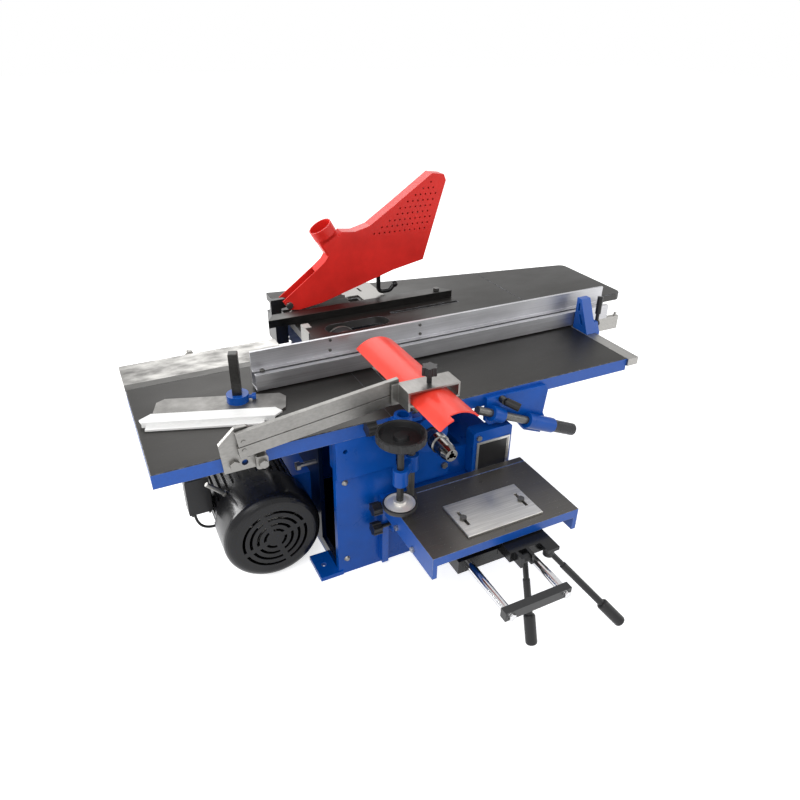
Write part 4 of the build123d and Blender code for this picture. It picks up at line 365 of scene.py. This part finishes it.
def coated(name, colour, roughness, coat, rub, grain=260.0, strength=0.12, shine=0.5, bare_or_painted_shade=None):
    """Paint or moulding: soft patches, orange peel, rubbed edges, and a region of painted shade, near
    black, if one is given.
    """
    made, tree, shader = blank(name)
    patches = mottle(tree, 14.0)
    tone = mixed(tree, patches, shade(colour, 0.86), shade(colour, 1.12))
    painted = mixed(tree, edge_wear(tree, 1.4), tone, rub)
    # Painted shade: where the given mask is one, the paint turns near black.
    if bare_or_painted_shade:
        painted = mixed(tree, bare_or_painted_shade(tree), painted, shade(colour, 0.05))
    peel = mottle(tree, grain)
    wire(tree, shader, Base_Color=painted, Coat_Weight=coat, Coat_Roughness=0.12,
         Specular_IOR_Level=shine,
         Roughness=span(tree, patches, 0.0, 1.0, roughness - 0.05, roughness + 0.08),
         Normal=relief(tree, peel, strength))
    return made


def painted_shade_beside_motor(tree):
    """Mask of the painted shade on the inside of the base and on its side beside the motor."""
    side, front, foot = PAINTED_SHADE_CORNER
    within = math(tree, "MULTIPLY", past(tree, LEFT, -side), past(tree, UP, foot))
    return math(tree, "MULTIPLY", past(tree, BACK, front), within)


def metal(name, colour, roughness, stretch, contrast=0.18, strength=0.10):
    """Bare metal with machining lines along one direction and brighter edges."""
    made, tree, shader = blank(name)
    lines = mottle(tree, *stretch)
    patches = mottle(tree, 16.0)
    tone = mixed(tree, lines, shade(colour, 1 - contrast), shade(colour, 1 + contrast))
    worn = edge_wear(tree, 1.2)
    wire(tree, shader, Base_Color=mixed(tree, worn, tone, shade(colour, 1.5)), Metallic=1.0,
         Roughness=span(tree, patches, 0.0, 1.0, roughness * 0.8, roughness * 1.25),
         Normal=relief(tree, lines, strength, 0.0001))
    return made


def ground_table(name, iron, sides):
    """Table casting: top ground along its length, with dust and scratches, sides in another finish."""
    made, tree, shader = blank(name)
    top = shared(tree, "Facing up", "Mask", {"Start": 0.6})
    lines = mottle(tree, 12.0, 700.0, 700.0)
    patches = mottle(tree, 5.0, 9.0, 9.0)
    ground = mixed(tree, lines, shade(iron, 0.82), shade(iron, 1.18))
    ground = mixed(tree, patches, ground, shade(iron, 1.12))
    dust = mottle(tree, 330.0, 420.0, 330.0)
    scratch = mottle(tree, 7.0, 900.0, 900.0)
    specks = span(tree, dust, 0.93, 1.0, 0.0, 0.5)
    marks = math(tree, "MAXIMUM", specks, span(tree, scratch, 0.90, 1.0, 0.0, 0.35))
    ground = mixed(tree, marks, ground, shade(iron, 5.0))
    peel = mottle(tree, 240.0)
    worn = edge_wear(tree, 1.6)
    skin = mixed(tree, peel, shade(sides, 0.92), shade(sides, 1.08))
    body = mixed(tree, top, skin, ground)
    polished = span(tree, patches, 0.0, 1.0, 0.34, 0.46)
    wire(tree, shader, Base_Color=mixed(tree, worn, body, shade(BARE_EDGE)),
         Metallic=math(tree, "MULTIPLY", top, 0.75), Roughness=polished,
         Normal=relief(tree, mixed(tree, top, peel, lines), 0.10, 0.0001))
    return made


def mottled_plate(name, colour):
    """Bright ground plate with cloudy grey streaks, and a painted shadow along its front edge."""
    made, tree, shader = blank(name)
    clouds = mottle(tree, 16.0, 34.0, 20.0)
    lines = mottle(tree, 20.0, 500.0, 500.0)
    tone = mixed(tree, clouds, shade(colour, 0.34), shade(colour, 1.15))
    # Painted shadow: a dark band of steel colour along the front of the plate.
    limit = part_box("rear_plate")[0][1] + REAR_SHADOW_BAND
    clear_of_shadow = past(tree, BACK, limit)
    strip = mixed(tree, lines, shade(colour, 0.16), shade(colour, 0.26))
    wire(tree, shader, Base_Color=mixed(tree, clear_of_shadow, strip, tone), Metallic=0.9,
         Roughness=span(tree, clouds, 0.0, 1.0, 0.52, 0.34), Normal=relief(tree, lines, 0.12, 0.0001))
    return made


def bracket_with_bar(name, blue, steel):
    """Blue bracket whose flat bar is unpainted steel."""
    made, tree, shader = blank(name)
    bar = past(tree, RIGHT, FENCE_BAR_X)
    lines = mottle(tree, 400.0, 12.0, 400.0)
    worn = shared(tree, "Edge wear", "Mask", {"Width": BRACKET_WEAR})
    paint = mixed(tree, worn, shade(blue), shade(blue, 2.0))
    bare_or_painted_shade = mixed(tree, lines, shade(steel, 0.6), shade(steel, 0.9))
    wire(tree, shader, Base_Color=mixed(tree, bar, paint, bare_or_painted_shade), Metallic=bar,
         Roughness=span(tree, lines, 0.0, 1.0, 0.30, 0.42), Normal=relief(tree, lines, 0.08))
    return made


def framed_plate(name, steel, black):
    """Bare plate: dark recess in a bright raised frame."""
    made, tree, shader = blank(name)
    recess = past(tree, BACK, PLATE_RECESS_Y)
    low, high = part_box("name_plate")
    for axis in (0, 2):
        for sign, edge in ((1.0, low[axis]), (-1.0, high[axis])):
            direction = [sign if place == axis else 0.0 for place in range(3)]
            within = past(tree, direction, sign * edge + PLATE_BORDER)
            recess = math(tree, "MULTIPLY", recess, within)
    lines = mottle(tree, 30.0, 30.0, 600.0)
    bright = mixed(tree, lines, shade(steel, 1.1), shade(steel, 1.5))
    dark = mixed(tree, lines, shade(black, 0.8), shade(black, 1.3))
    wire(tree, shader, Base_Color=mixed(tree, recess, bright, dark),
         Metallic=math(tree, "SUBTRACT", 1.0, recess),
         Roughness=span(tree, lines, 0.0, 1.0, 0.28, 0.38), Normal=relief(tree, lines, 0.06))
    return made


def shoe_finish(name, steel):
    """Silver plate with a white strip along its front."""
    made, tree, shader = blank(name)
    across = (sin(SHOE_TURN), -cos(SHOE_TURN), 0.0)
    limit = STRIP_LIMIT + across[0] * SHOE_POST[0] + across[1] * SHOE_POST[1]
    strip = past(tree, across, limit)
    lines = mottle(tree, 60.0, 420.0, 420.0)
    stains = mottle(tree, 26.0)
    bare_or_painted_shade = mixed(tree, stains, shade(steel, 0.38), shade(steel, 0.66))
    white = mixed(tree, lines, *(shade(tone) for tone in STRIP_WHITES))
    wire(tree, shader, Base_Color=mixed(tree, strip, bare_or_painted_shade, white),
         Metallic=math(tree, "SUBTRACT", 1.0, strip), Roughness=span(tree, lines, 0.0, 1.0, 0.44, 0.56),
         Normal=relief(tree, lines, 0.08))
    return made


def pad_finish(name, steel, black):
    """Turned steel dish with a black rubber rim."""
    made, tree, shader = blank(name)
    gap = shared(tree, "Around axis", "Distance", {"Centre": PAD_AXIS})
    rim = math(tree, "GREATER_THAN", gap, PAD_RIM)
    rings = math(tree, "PINGPONG", math(tree, "MULTIPLY", gap, 900.0), 1.0)
    turned = mixed(tree, rings, shade(steel, 1.5), shade(steel, 1.9))
    wire(tree, shader, Base_Color=mixed(tree, rim, turned, shade(black)),
         Metallic=span(tree, rim, 0.0, 1.0, 0.6, 0.0),
         Roughness=span(tree, rings, 0.0, 1.0, 0.30, 0.42), Normal=relief(tree, rings, 0.08, 0.0001))
    return made


def graduated(name, steel):
    """Ground bar with fine marks every five millimetres, longer at each ten."""
    made, tree, shader = blank(name)
    place = node(tree, "SeparateXYZ", {0: node(tree, "TexCoord").outputs["Object"]}).outputs
    top = shared(tree, "Facing up", "Mask")
    fives, tens = (math(tree, "LESS_THAN", math(tree, "FLOORED_MODULO", place["Y"], step), MARK_WIDTH)
                   for step in (MARK_STEP, MARK_LONG_STEP))
    short = math(tree, "MULTIPLY", fives, math(tree, "GREATER_THAN", place["X"], MARK_SHORT_X))
    long = math(tree, "MULTIPLY", tens, math(tree, "GREATER_THAN", place["X"], MARK_LONG_X))
    marks = math(tree, "MULTIPLY", math(tree, "MAXIMUM", short, long), top)
    lines = mottle(tree, 400.0, 12.0, 400.0)
    bare_or_painted_shade = mixed(tree, lines, shade(steel, 0.62), shade(steel, 0.85))
    wire(tree, shader, Base_Color=mixed(tree, marks, bare_or_painted_shade, shade(MARK_INK)),
         Metallic=math(tree, "SUBTRACT", 1.0, marks), Roughness=span(tree, lines, 0.0, 1.0, 0.28, 0.40),
         Normal=relief(tree, lines, 0.08))
    return made


def knurled_screw(name, steel, black):
    """Bronzed screw whose grip is dark and diamond knurled."""
    made, tree, shader = blank(name)
    place = node(tree, "TexCoord").outputs["Object"]
    shifted = node(tree, "VectorMath", {0: place, 1: GRIP_START}, operation="SUBTRACT").outputs[0]
    inputs = {"Vector": shifted, "Axis": BACK, "Angle": -GRIP_SLOPE}
    straight = node(tree, "VectorRotate", inputs).outputs[0]
    part = node(tree, "SeparateXYZ", {0: straight}).outputs
    round_way = math(tree, "MULTIPLY", math(tree, "ARCTAN2", part["Z"], part["Y"]), KNURL_ARC)
    first = math(tree, "PINGPONG", math(tree, "ADD", round_way, part["X"]), KNURL_HALF_PITCH)
    second = math(tree, "PINGPONG", math(tree, "SUBTRACT", round_way, part["X"]), KNURL_HALF_PITCH)
    diamonds = math(tree, "MULTIPLY", math(tree, "MINIMUM", first, second), KNURL_GAIN)
    grip = past(tree, RIGHT, GRIP_X)
    lines = mottle(tree, 300.0)
    shaft = mixed(tree, lines, shade(steel, 0.20), shade(steel, 0.34))
    held = mixed(tree, diamonds, shade(black, 1.5), shade(black, 7.0))
    wire(tree, shader, Base_Color=mixed(tree, grip, shaft, held), Metallic=0.8,
         Roughness=span(tree, lines, 0.0, 1.0, 0.30, 0.42),
         Normal=relief(tree, math(tree, "MULTIPLY", diamonds, grip), 0.7, 0.0006))
    return made


def pivot_head(tree):
    """Mask of the pivot pin's head on the guard post."""
    gap = shared(tree, "Around axis", "Distance", {"Centre": PIVOT_AXIS, "Flatten": (1.0, 0.0, 1.0)})
    return math(tree, "LESS_THAN", gap, PIVOT_HEAD)


def rods_and_bolts(tree):
    """Mask of the chrome rods and end bolts, without the crossbar between them."""
    crossbar = math(tree, "SUBTRACT", *(past(tree, BACK, limit) for limit in CROSSBAR_YS))
    return math(tree, "SUBTRACT", 1.0, crossbar)


def side_bolts(tree):
    """Mask of the bolt heads on the left flange of the mortise table."""
    return past(tree, LEFT, -SIDE_BOLTS_X)


def left_of_bolt(tree):
    """Mask of the throat plate and the bent tab, without the guide bar's pivot bolt."""
    return past(tree, LEFT, -BAR_BOLT_X)


def bolts_off_gibs(tree):
    """Mask of the bolts and rods on the base, without the painted gibs of the lift."""
    between = math(tree, "MULTIPLY", past(tree, RIGHT, GIB_XS[0]), past(tree, LEFT, -GIB_XS[1]))
    painted = math(tree, "MULTIPLY", past(tree, DOWN, -GIB_TOP), between)
    return math(tree, "SUBTRACT", 1.0, painted)


def black_and_bright(name, black, bright, pick, roughness):
    """Painted or blackened finish with one bright machined region."""
    made, tree, shader = blank(name)
    region = pick(tree)
    grain = mottle(tree, 260.0)
    dark = mixed(tree, grain, shade(black, 0.85), shade(black, 1.25))
    lit = mixed(tree, grain, shade(bright, 0.92), shade(bright, 1.08))
    wire(tree, shader, Base_Color=mixed(tree, region, dark, lit), Metallic=region,
         Roughness=span(tree, region, 0.0, 1.0, 0.34, roughness), Normal=relief(tree, grain, 0.08))
    return made


def extruded(name, colour):
    """Satin extrusion drawn along X, with darker patches where it is handled."""
    made, tree, shader = blank(name)
    lines = mottle(tree, 1.5, 520.0, 520.0)
    fine = mottle(tree, 6.0, 1600.0, 1600.0)
    tone = mixed(tree, lines, shade(colour, 0.80), shade(colour, 1.12))
    handled = mottle(tree, 9.0, 30.0, 30.0)
    tone = mixed(tree, span(tree, handled, 0.0, 1.0, 0.0, 0.45), tone, shade(colour, 0.55))
    worn = shared(tree, "Edge wear", "Mask", {"Width": FENCE_WEAR})
    wire(tree, shader, Base_Color=mixed(tree, worn, tone, shade(colour, 1.5)), Metallic=1.0,
         Roughness=span(tree, lines, 0.0, 1.0, 0.38, 0.50), Normal=relief(tree, fine, 0.10, 0.0001))
    return made


def finish(material, *names):
    """Puts one material on named nodes of the machine."""
    for name in names:
        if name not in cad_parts:
            raise RuntimeError(f"no node named {name}")
        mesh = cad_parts[name].data
        mesh.materials.clear()
        mesh.materials.append(material)


def place_mesh(name, bm, material, body):
    """Turns a mesh under construction into a piece that rides on a body."""
    mesh = bpy.data.meshes.new(name)
    bm.normal_update()
    bm.to_mesh(mesh)
    bm.free()
    mesh.materials.append(material)
    piece = bpy.data.objects.new(name, mesh)
    bpy.context.scene.collection.objects.link(piece)
    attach(piece, body)


def socket_screw(place, facing, radius, height):
    """Screw head with a rounded shoulder and a hexagon socket, seated at a place."""
    steps = 36
    bm = bmesh.new()
    # Rings from the seat to the floor of the socket: shares of the radius and the height, then
    # one where the ring has six sides.
    profile = [(1.0, 0.0, 0.0), (1.0, 0.62, 0.0), (0.95, 0.84, 0.0), (0.84, 1.0, 0.0),
               (0.50, 1.0, 1.0), (0.47, 0.94, 1.0), (0.47, 0.35, 1.0)]
    rings = []
    for wide, high, six_sided in profile:
        ring = []
        for step in range(steps):
            angle = 2 * pi * step / steps
            corner = (angle % (pi / 3)) - pi / 6
            reach = radius * wide * ((cos(pi / 6) / cos(corner)) if six_sided else 1.0)
            ring.append(bm.verts.new((reach * cos(angle), reach * sin(angle), height * high)))
        rings.append(ring)
    for low, high in zip(rings, rings[1:]):
        for step in range(steps):
            following = (step + 1) % steps
            bm.faces.new((low[step], low[following], high[following], high[step])).smooth = True
    bm.faces.new(rings[0][::-1])
    bm.faces.new(rings[-1])
    turn = Vector(UP).rotation_difference(Vector(facing)).to_matrix().to_4x4()
    bmesh.ops.transform(bm, matrix=Matrix.Translation(place) @ turn, verts=bm.verts)
    return bm


class MACHINE_OT_groups(bpy.types.Operator):
    """Builds the shared patterns that the finishes use"""

    bl_idname = "machine.groups"
    bl_label = "Build Shared Patterns"

    def execute(self, context):
        for build in (build_edge_wear, build_mottle, build_past, build_facing, build_around):
            build()
        return {"FINISHED"}


class MACHINE_OT_castings(bpy.types.Operator):
    """Paints the blue castings"""

    bl_idname = "machine.castings"
    bl_label = "Paint Castings"

    def execute(self, context):
        chosen = context.scene.machine_finish
        rub = shade(chosen.blue, 1.9)
        enamel = coated("blue_enamel", chosen.blue, 0.30, 0.05, rub, shine=0.22)
        # The base's side beside the motor and its inside get painted shade.
        base = coated("base_paint_and_shade", chosen.blue, 0.30, 0.05, rub, shine=0.22, bare_or_painted_shade=painted_shade_beside_motor)
        finish(base, "base_frame")
        finish(enamel, "front_cover", "bearing_brackets", "saw_bracket", "motor_cradle",
               "feed_housing", "infeed_bracket", "post_socket", "shoe_collar", "clamp_arm",
               "lift_bracket")
        finish(bracket_with_bar("fence_bracket_finish", chosen.blue, chosen.steel), "fence_bracket")
        return {"FINISHED"}


class MACHINE_OT_tables(bpy.types.Operator):
    """Finishes the ground tables and the bright rear plate"""

    bl_idname = "machine.tables"
    bl_label = "Finish Tables"

    def execute(self, context):
        chosen = context.scene.machine_finish
        blue_edged = ground_table("ground_iron_blue", chosen.iron, chosen.blue)
        finish(blue_edged, "outfeed_table", "infeed_table")
        light = tint(chosen.iron, MORTISE_TONE)
        finish(ground_table("ground_iron_light", light, chosen.blue), "mortise_table")
        grey = tint(chosen.iron, SAW_SIDES_TONE)
        finish(ground_table("ground_iron_grey", chosen.iron, grey), "saw_table")
        finish(mottled_plate("bright_plate", chosen.steel), "rear_plate")
        return {"FINISHED"}


class MACHINE_OT_bright(bpy.types.Operator):
    """Finishes the steel, chrome and aluminium pieces"""

    bl_idname = "machine.bright"
    bl_label = "Finish Bright Pieces"

    def execute(self, context):
        chosen = context.scene.machine_finish
        machined = tint(chosen.steel, MILLED_TONE)
        milled = metal("milled_steel", machined, 0.42, (120.0, 40.0, 240.0), 0.10)
        finish(milled, "arm_base", "upper_link", "lower_link", "guard_head", "spindle_shaft",
               "spindle_bearings", "cutterblock", "motor_rotor")
        bolted = black_and_bright("bolt_finish", chosen.blue, machined, bolts_off_gibs, 0.42)
        finish(bolted, "fasteners")
        bright = tint(chosen.steel, BRUSHED_TONE)
        brushed = metal("brushed_steel", bright, 0.40, (12.0, 420.0, 420.0))
        finish(brushed, "stop_plate", "saw_blade")
        dull = tint(chosen.steel, THROAT_TONE)
        dark_bolt = tint(chosen.steel, BOLT_TONE)
        throat = black_and_bright("throat_finish", dark_bolt, dull, left_of_bolt, 0.46)
        finish(throat, "saw_fittings")
        blackened = tint(chosen.steel, DARK_TONE)
        dark = metal("dark_steel", blackened, 0.36, (40.0, 300.0, 300.0))
        finish(dark, "mitre_bar", "shoe_post")
        grey = tint(chosen.steel, GUNMETAL_TONE)
        gunmetal = metal("gunmetal", grey, 0.20, (300.0, 20.0, 300.0), 0.10)
        finish(gunmetal, "drill_chuck")
        rods = black_and_bright("rods_finish", chosen.black, CHROME, rods_and_bolts, 0.12)
        finish(rods, "cross_rods")
        column = black_and_bright("column_finish", blackened, chosen.steel, side_bolts, 0.30)
        finish(column, "mortise_fittings")
        finish(extruded("satin_aluminium", chosen.aluminium), "fence_profile")
        finish(graduated("graduated_bar", chosen.steel), "fence_rail")
        finish(shoe_finish("press_shoe_finish", chosen.steel), "press_shoe")
        finish(pad_finish("pad_dish", chosen.steel, chosen.moulding), "clamp_pad")
        finish(knurled_screw("knurled_screw", chosen.steel, chosen.moulding), "height_screw")
        finish(framed_plate("framed_plate", chosen.steel, chosen.black), "name_plate")
        return {"FINISHED"}


class MACHINE_OT_dark(bpy.types.Operator):
    """Finishes the motor, the black brackets and the moulded handles"""

    bl_idname = "machine.dark"
    bl_label = "Finish Dark Pieces"

    def execute(self, context):
        chosen = context.scene.machine_finish
        gloss = coated("black_enamel", chosen.black, 0.22, 0.05, shade(chosen.black, 3.0), shine=0.25)
        finish(gloss, "motor_frame", "motor_cowl", "guard_hook", "mortise_carriage")
        post = black_and_bright("post_finish", chosen.black, chosen.steel, pivot_head, 0.30)
        finish(post, "guard_post")
        worn = shade(chosen.moulding, 2.4)
        moulded = coated("black_moulding", chosen.moulding, 0.40, 0.1, worn, 420.0, 0.2, 0.3)
        finish(moulded, "switch_box", "head_knob", "socket_knob", "lift_knob_upper", "lift_knob_lower",
               "clamp_handwheel", "table_lock_lever", "fence_lock_lever", "travel_lever", "cross_lever")
        worn = shade(chosen.moulding, 1.8)
        rubber = coated("belt_rubber", chosen.moulding, 0.70, 0.0, worn, 600.0, 0.3)
        finish(rubber, "drive_belt", "motor_lead")
        return {"FINISHED"}


class MACHINE_OT_guards(bpy.types.Operator):
    """Finishes the red guards"""

    bl_idname = "machine.guards"
    bl_label = "Finish Guards"

    def execute(self, context):
        chosen = context.scene.machine_finish
        pale = shade(chosen.guard_red, 1.4)
        sheet = coated("red_sheet", chosen.guard_red, 0.36, 0.1, pale, 300.0, 0.08, 0.3)
        finish(sheet, "bridge_guard")
        pale = shade(chosen.hood_red, 1.5)
        hood = coated("red_moulding", chosen.hood_red, 0.34, 0.1, pale, 320.0, 0.10, 0.25)
        finish(hood, "saw_guard", "dust_nozzle")
        return {"FINISHED"}


class MACHINE_OT_lead(bpy.types.Operator):
    """Adds the lead between the switch box and the motor"""

    bl_idname = "machine.lead"
    bl_label = "Add Motor Lead"

    def execute(self, context):
        wide = context.scene.machine_fittings.lead
        curve = bpy.data.curves.new("motor_lead_curve", "CURVE")
        curve.dimensions = "3D"
        line = curve.splines.new("NURBS")
        line.points.add(len(LEAD_ROUTE) - 1)
        for point, place in zip(line.points, LEAD_ROUTE):
            point.co = (*place, 1.0)
        line.order_u = 3
        line.use_endpoint_u = True
        line.resolution_u = 16
        curve.bevel_depth = wide / 2
        curve.bevel_resolution = 6
        curve.use_fill_caps = True
        curve.materials.append(bpy.data.materials["belt_rubber"])
        piece = bpy.data.objects.new("motor_lead_run", curve)
        context.scene.collection.objects.link(piece)
        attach(piece, "frame")
        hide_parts("motor_lead")
        return {"FINISHED"}


class MACHINE_OT_belt_sheet(bpy.types.Operator):
    """Adds the dark sheet that stands behind the drive belt, under the saw table"""

    bl_idname = "machine.belt_sheet"
    bl_label = "Add Belt Sheet"

    def execute(self, context):
        steps = 24
        bm = bmesh.new()
        angles = [2 * pi * step / steps for step in range(steps)]
        hole = [(SHEET_HOLE * cos(angle), SHAFT_Z + SHEET_HOLE * sin(angle)) for angle in angles]
        (left, right), (low, high) = SHEET_XS, SHEET_ZS
        outline = [(left, low), (right, low), (right, high), (left, high)]
        loops = [[bm.verts.new((x, SHEET_Y, z)) for x, z in points] for points in (outline, hole)]
        edges = [bm.edges.new((loop[count], loop[(count + 1) % len(loop)]))
                 for loop in loops for count in range(len(loop))]
        bmesh.ops.triangle_fill(bm, edges=edges, use_beauty=True)
        faces = bmesh.ops.extrude_face_region(bm, geom=bm.faces[:])["geom"]
        moved = [part for part in faces if isinstance(part, bmesh.types.BMVert)]
        bmesh.ops.translate(bm, verts=moved, vec=(0.0, SHEET_THICK, 0.0))
        bmesh.ops.recalc_face_normals(bm, faces=bm.faces[:])
        place_mesh("belt_sheet", bm, bpy.data.materials["black_enamel"], "frame")
        return {"FINISHED"}


class MACHINE_OT_screws(bpy.types.Operator):
    """Adds the screws of the fence, the mortise table and the switch box"""

    bl_idname = "machine.screws"
    bl_label = "Add Screws"

    def execute(self, context):
        chosen = context.scene.machine_finish
        sizes = context.scene.machine_fittings
        blackened = tint(chosen.steel, SCREW_TONE)
        dark = metal("blackened_screw", blackened, 0.40, (200.0, 200.0, 200.0))
        for count, (x, z) in enumerate(FENCE_SCREWS, 1):
            head = socket_screw((x, FENCE_FACE_Y, z), FRONT, sizes.screw, FENCE_SCREW_HEIGHT)
            place_mesh(f"fence_screw_{count}", head, dark, "fence")
        bolt = socket_screw(SLOT_BOLT_PLACE, UP, sizes.slot_bolt, SLOT_BOLT_HEIGHT)
        place_mesh("fence_slot_bolt", bolt, dark, "fence")
        for count, (x, y) in enumerate(GRUB_SCREWS, 1):
            head = socket_screw((x, y, MORTISE_TOP), UP, sizes.grub, GRUB_HEIGHT)
            place_mesh(f"mortise_grub_{count}", head, dark, "mortise")
        low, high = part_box("switch_box")
        sides = (low[0] + BOX_SCREW_INSET, high[0] - BOX_SCREW_INSET)
        levels = (low[2] + BOX_SCREW_INSET, high[2] - BOX_SCREW_INSET)
        for count, (x, z) in enumerate([(x, z) for x in sides for z in levels], 1):
            head = socket_screw((x, low[1], z), FRONT, BOX_SCREW_RADIUS, BOX_SCREW_HEIGHT)
            place_mesh(f"box_screw_{count}", head, dark, "frame")
        return {"FINISHED"}


def sees_white(tree):
    """One for the rays that show the backdrop: those of the camera, of gloss and of glass."""
    rays = node(tree, "LightPath").outputs
    gloss = math(tree, "MAXIMUM", rays["Is Glossy Ray"], rays["Is Transmission Ray"])
    return math(tree, "MAXIMUM", rays["Is Camera Ray"], gloss)


def studio_floor(name):
    """White floor that keeps a soft shadow, with painted shade, near black and without glow, on its
    patch inside the base.
    """
    made, tree, shader = blank(name)
    under = 1.0
    for axis, reach in enumerate(BASE_INSIDE):
        for sign in (1.0, -1.0):
            direction = [sign if place == axis else 0.0 for place in range(3)]
            under = math(tree, "MULTIPLY", under, past(tree, direction, -reach))
    lifted = math(tree, "MULTIPLY", sees_white(tree), math(tree, "SUBTRACT", 1.0, under))
    # Painted shade: the patch inside the base is coloured near black.
    tone = mixed(tree, under, shade(FLOOR_WHITE), shade(FLOOR_PAINTED_SHADE))
    wire(tree, shader, Base_Color=tone, Roughness=0.9, Specular_IOR_Level=0.0,
         Emission_Color=lifted, Emission_Strength=FLOOR_LIFT)
    return made


def add_lamp(name, place, target, size, power):
    """Square soft lamp turned towards a target."""
    lamp = bpy.data.lights.new(name, "AREA")
    lamp.size = size
    lamp.energy = power
    piece = bpy.data.objects.new(name, lamp)
    piece.location = place
    piece.rotation_euler = (Vector(target) - Vector(place)).to_track_quat("-Z", "Y").to_euler()
    bpy.context.scene.collection.objects.link(piece)


def add_camera():
    """Camera of the picture."""
    seen = bpy.data.cameras.new("camera")
    seen.lens = CAMERA_LENS
    seen.sensor_width = CAMERA_SENSOR
    seen.clip_end = 60.0
    piece = bpy.data.objects.new("camera", seen)
    turn = Matrix(CAMERA_AXES).transposed().to_4x4()
    piece.matrix_world = Matrix.Translation(CAMERA_PLACE) @ turn
    bpy.context.scene.collection.objects.link(piece)
    bpy.context.scene.camera = piece


def white_surround(level):
    """Surround that is white to the camera and softer as light."""
    world = bpy.data.worlds.new("surround")
    world.use_nodes = True
    tree = world.node_tree
    soft = tree.nodes["Background"]
    soft.inputs["Color"].default_value = (1.0, 1.0, 1.0, 1.0)
    soft.inputs["Strength"].default_value = level
    white = node(tree, "Background", {"Color": (1.0, 1.0, 1.0, 1.0), "Strength": 1.0}).outputs[0]
    both = node(tree, "MixShader", {0: sees_white(tree), 1: soft.outputs[0], 2: white}).outputs[0]
    tree.links.new(both, tree.nodes["World Output"].inputs["Surface"])
    bpy.context.scene.world = world


class MACHINE_OT_stage(bpy.types.Operator):
    """Adds the floor, the lamps, the surround and the camera"""

    bl_idname = "machine.stage"
    bl_label = "Add Studio"

    def execute(self, context):
        levels = context.scene.machine_studio
        bm = bmesh.new()
        signs = ((-1, -1), (1, -1), (1, 1), (-1, 1))
        bm.faces.new([bm.verts.new((x * FLOOR_REACH, y * FLOOR_REACH, 0.0)) for x, y in signs])
        mesh = bpy.data.meshes.new("floor")
        bm.to_mesh(mesh)
        bm.free()
        mesh.materials.append(studio_floor("floor_white_and_shade"))
        floor = bpy.data.objects.new("floor", mesh)
        context.scene.collection.objects.link(floor)
        for name, (place, target, size, share) in LAMPS.items():
            level = levels.key if name == "key" else levels.fill
            add_lamp(name, place, target, size, level * share)
        white_surround(levels.sky)
        add_camera()
        context.scene.view_settings.view_transform = "Standard"
        return {"FINISHED"}


class MACHINE_PT_panel(bpy.types.Panel):
    """Sidebar panel with the finishes, sizes and steps of the machine"""

    bl_label = "Woodworking Machine"
    bl_idname = "MACHINE_PT_panel"
    bl_space_type = "VIEW_3D"
    bl_region_type = "UI"
    bl_category = "Machine"

    def draw(self, context):
        for group in (context.scene.machine_finish, context.scene.machine_fittings,
                      context.scene.machine_studio):
            box = self.layout.box()
            for key in group.__annotations__:
                box.prop(group, key)
        for step in STEPS:
            self.layout.operator(step.bl_idname)


SETTINGS = {"machine_finish": MachineFinish, "machine_fittings": MachineFittings,
            "machine_studio": MachineStudio}
STEPS = (MACHINE_OT_groups, MACHINE_OT_castings, MACHINE_OT_tables, MACHINE_OT_bright, MACHINE_OT_dark,
         MACHINE_OT_guards, MACHINE_OT_lead, MACHINE_OT_belt_sheet, MACHINE_OT_screws, MACHINE_OT_stage)


def register():
    for name, group in SETTINGS.items():
        bpy.utils.register_class(group)
        setattr(bpy.types.Scene, name, PointerProperty(type=group))
    for step in STEPS:
        bpy.utils.register_class(step)
    bpy.utils.register_class(MACHINE_PT_panel)


def unregister():
    bpy.utils.unregister_class(MACHINE_PT_panel)
    for step in reversed(STEPS):
        bpy.utils.unregister_class(step)
    for name, group in SETTINGS.items():
        delattr(bpy.types.Scene, name)
        bpy.utils.unregister_class(group)


def main():
    register()
    bpy.ops.machine.groups()
    bpy.ops.machine.castings()
    bpy.ops.machine.tables()
    bpy.ops.machine.bright()
    bpy.ops.machine.dark()
    bpy.ops.machine.guards()
    bpy.ops.machine.lead()
    bpy.ops.machine.belt_sheet()
    bpy.ops.machine.screws()
    bpy.ops.machine.stage()


if __name__ == "__main__":
    main()
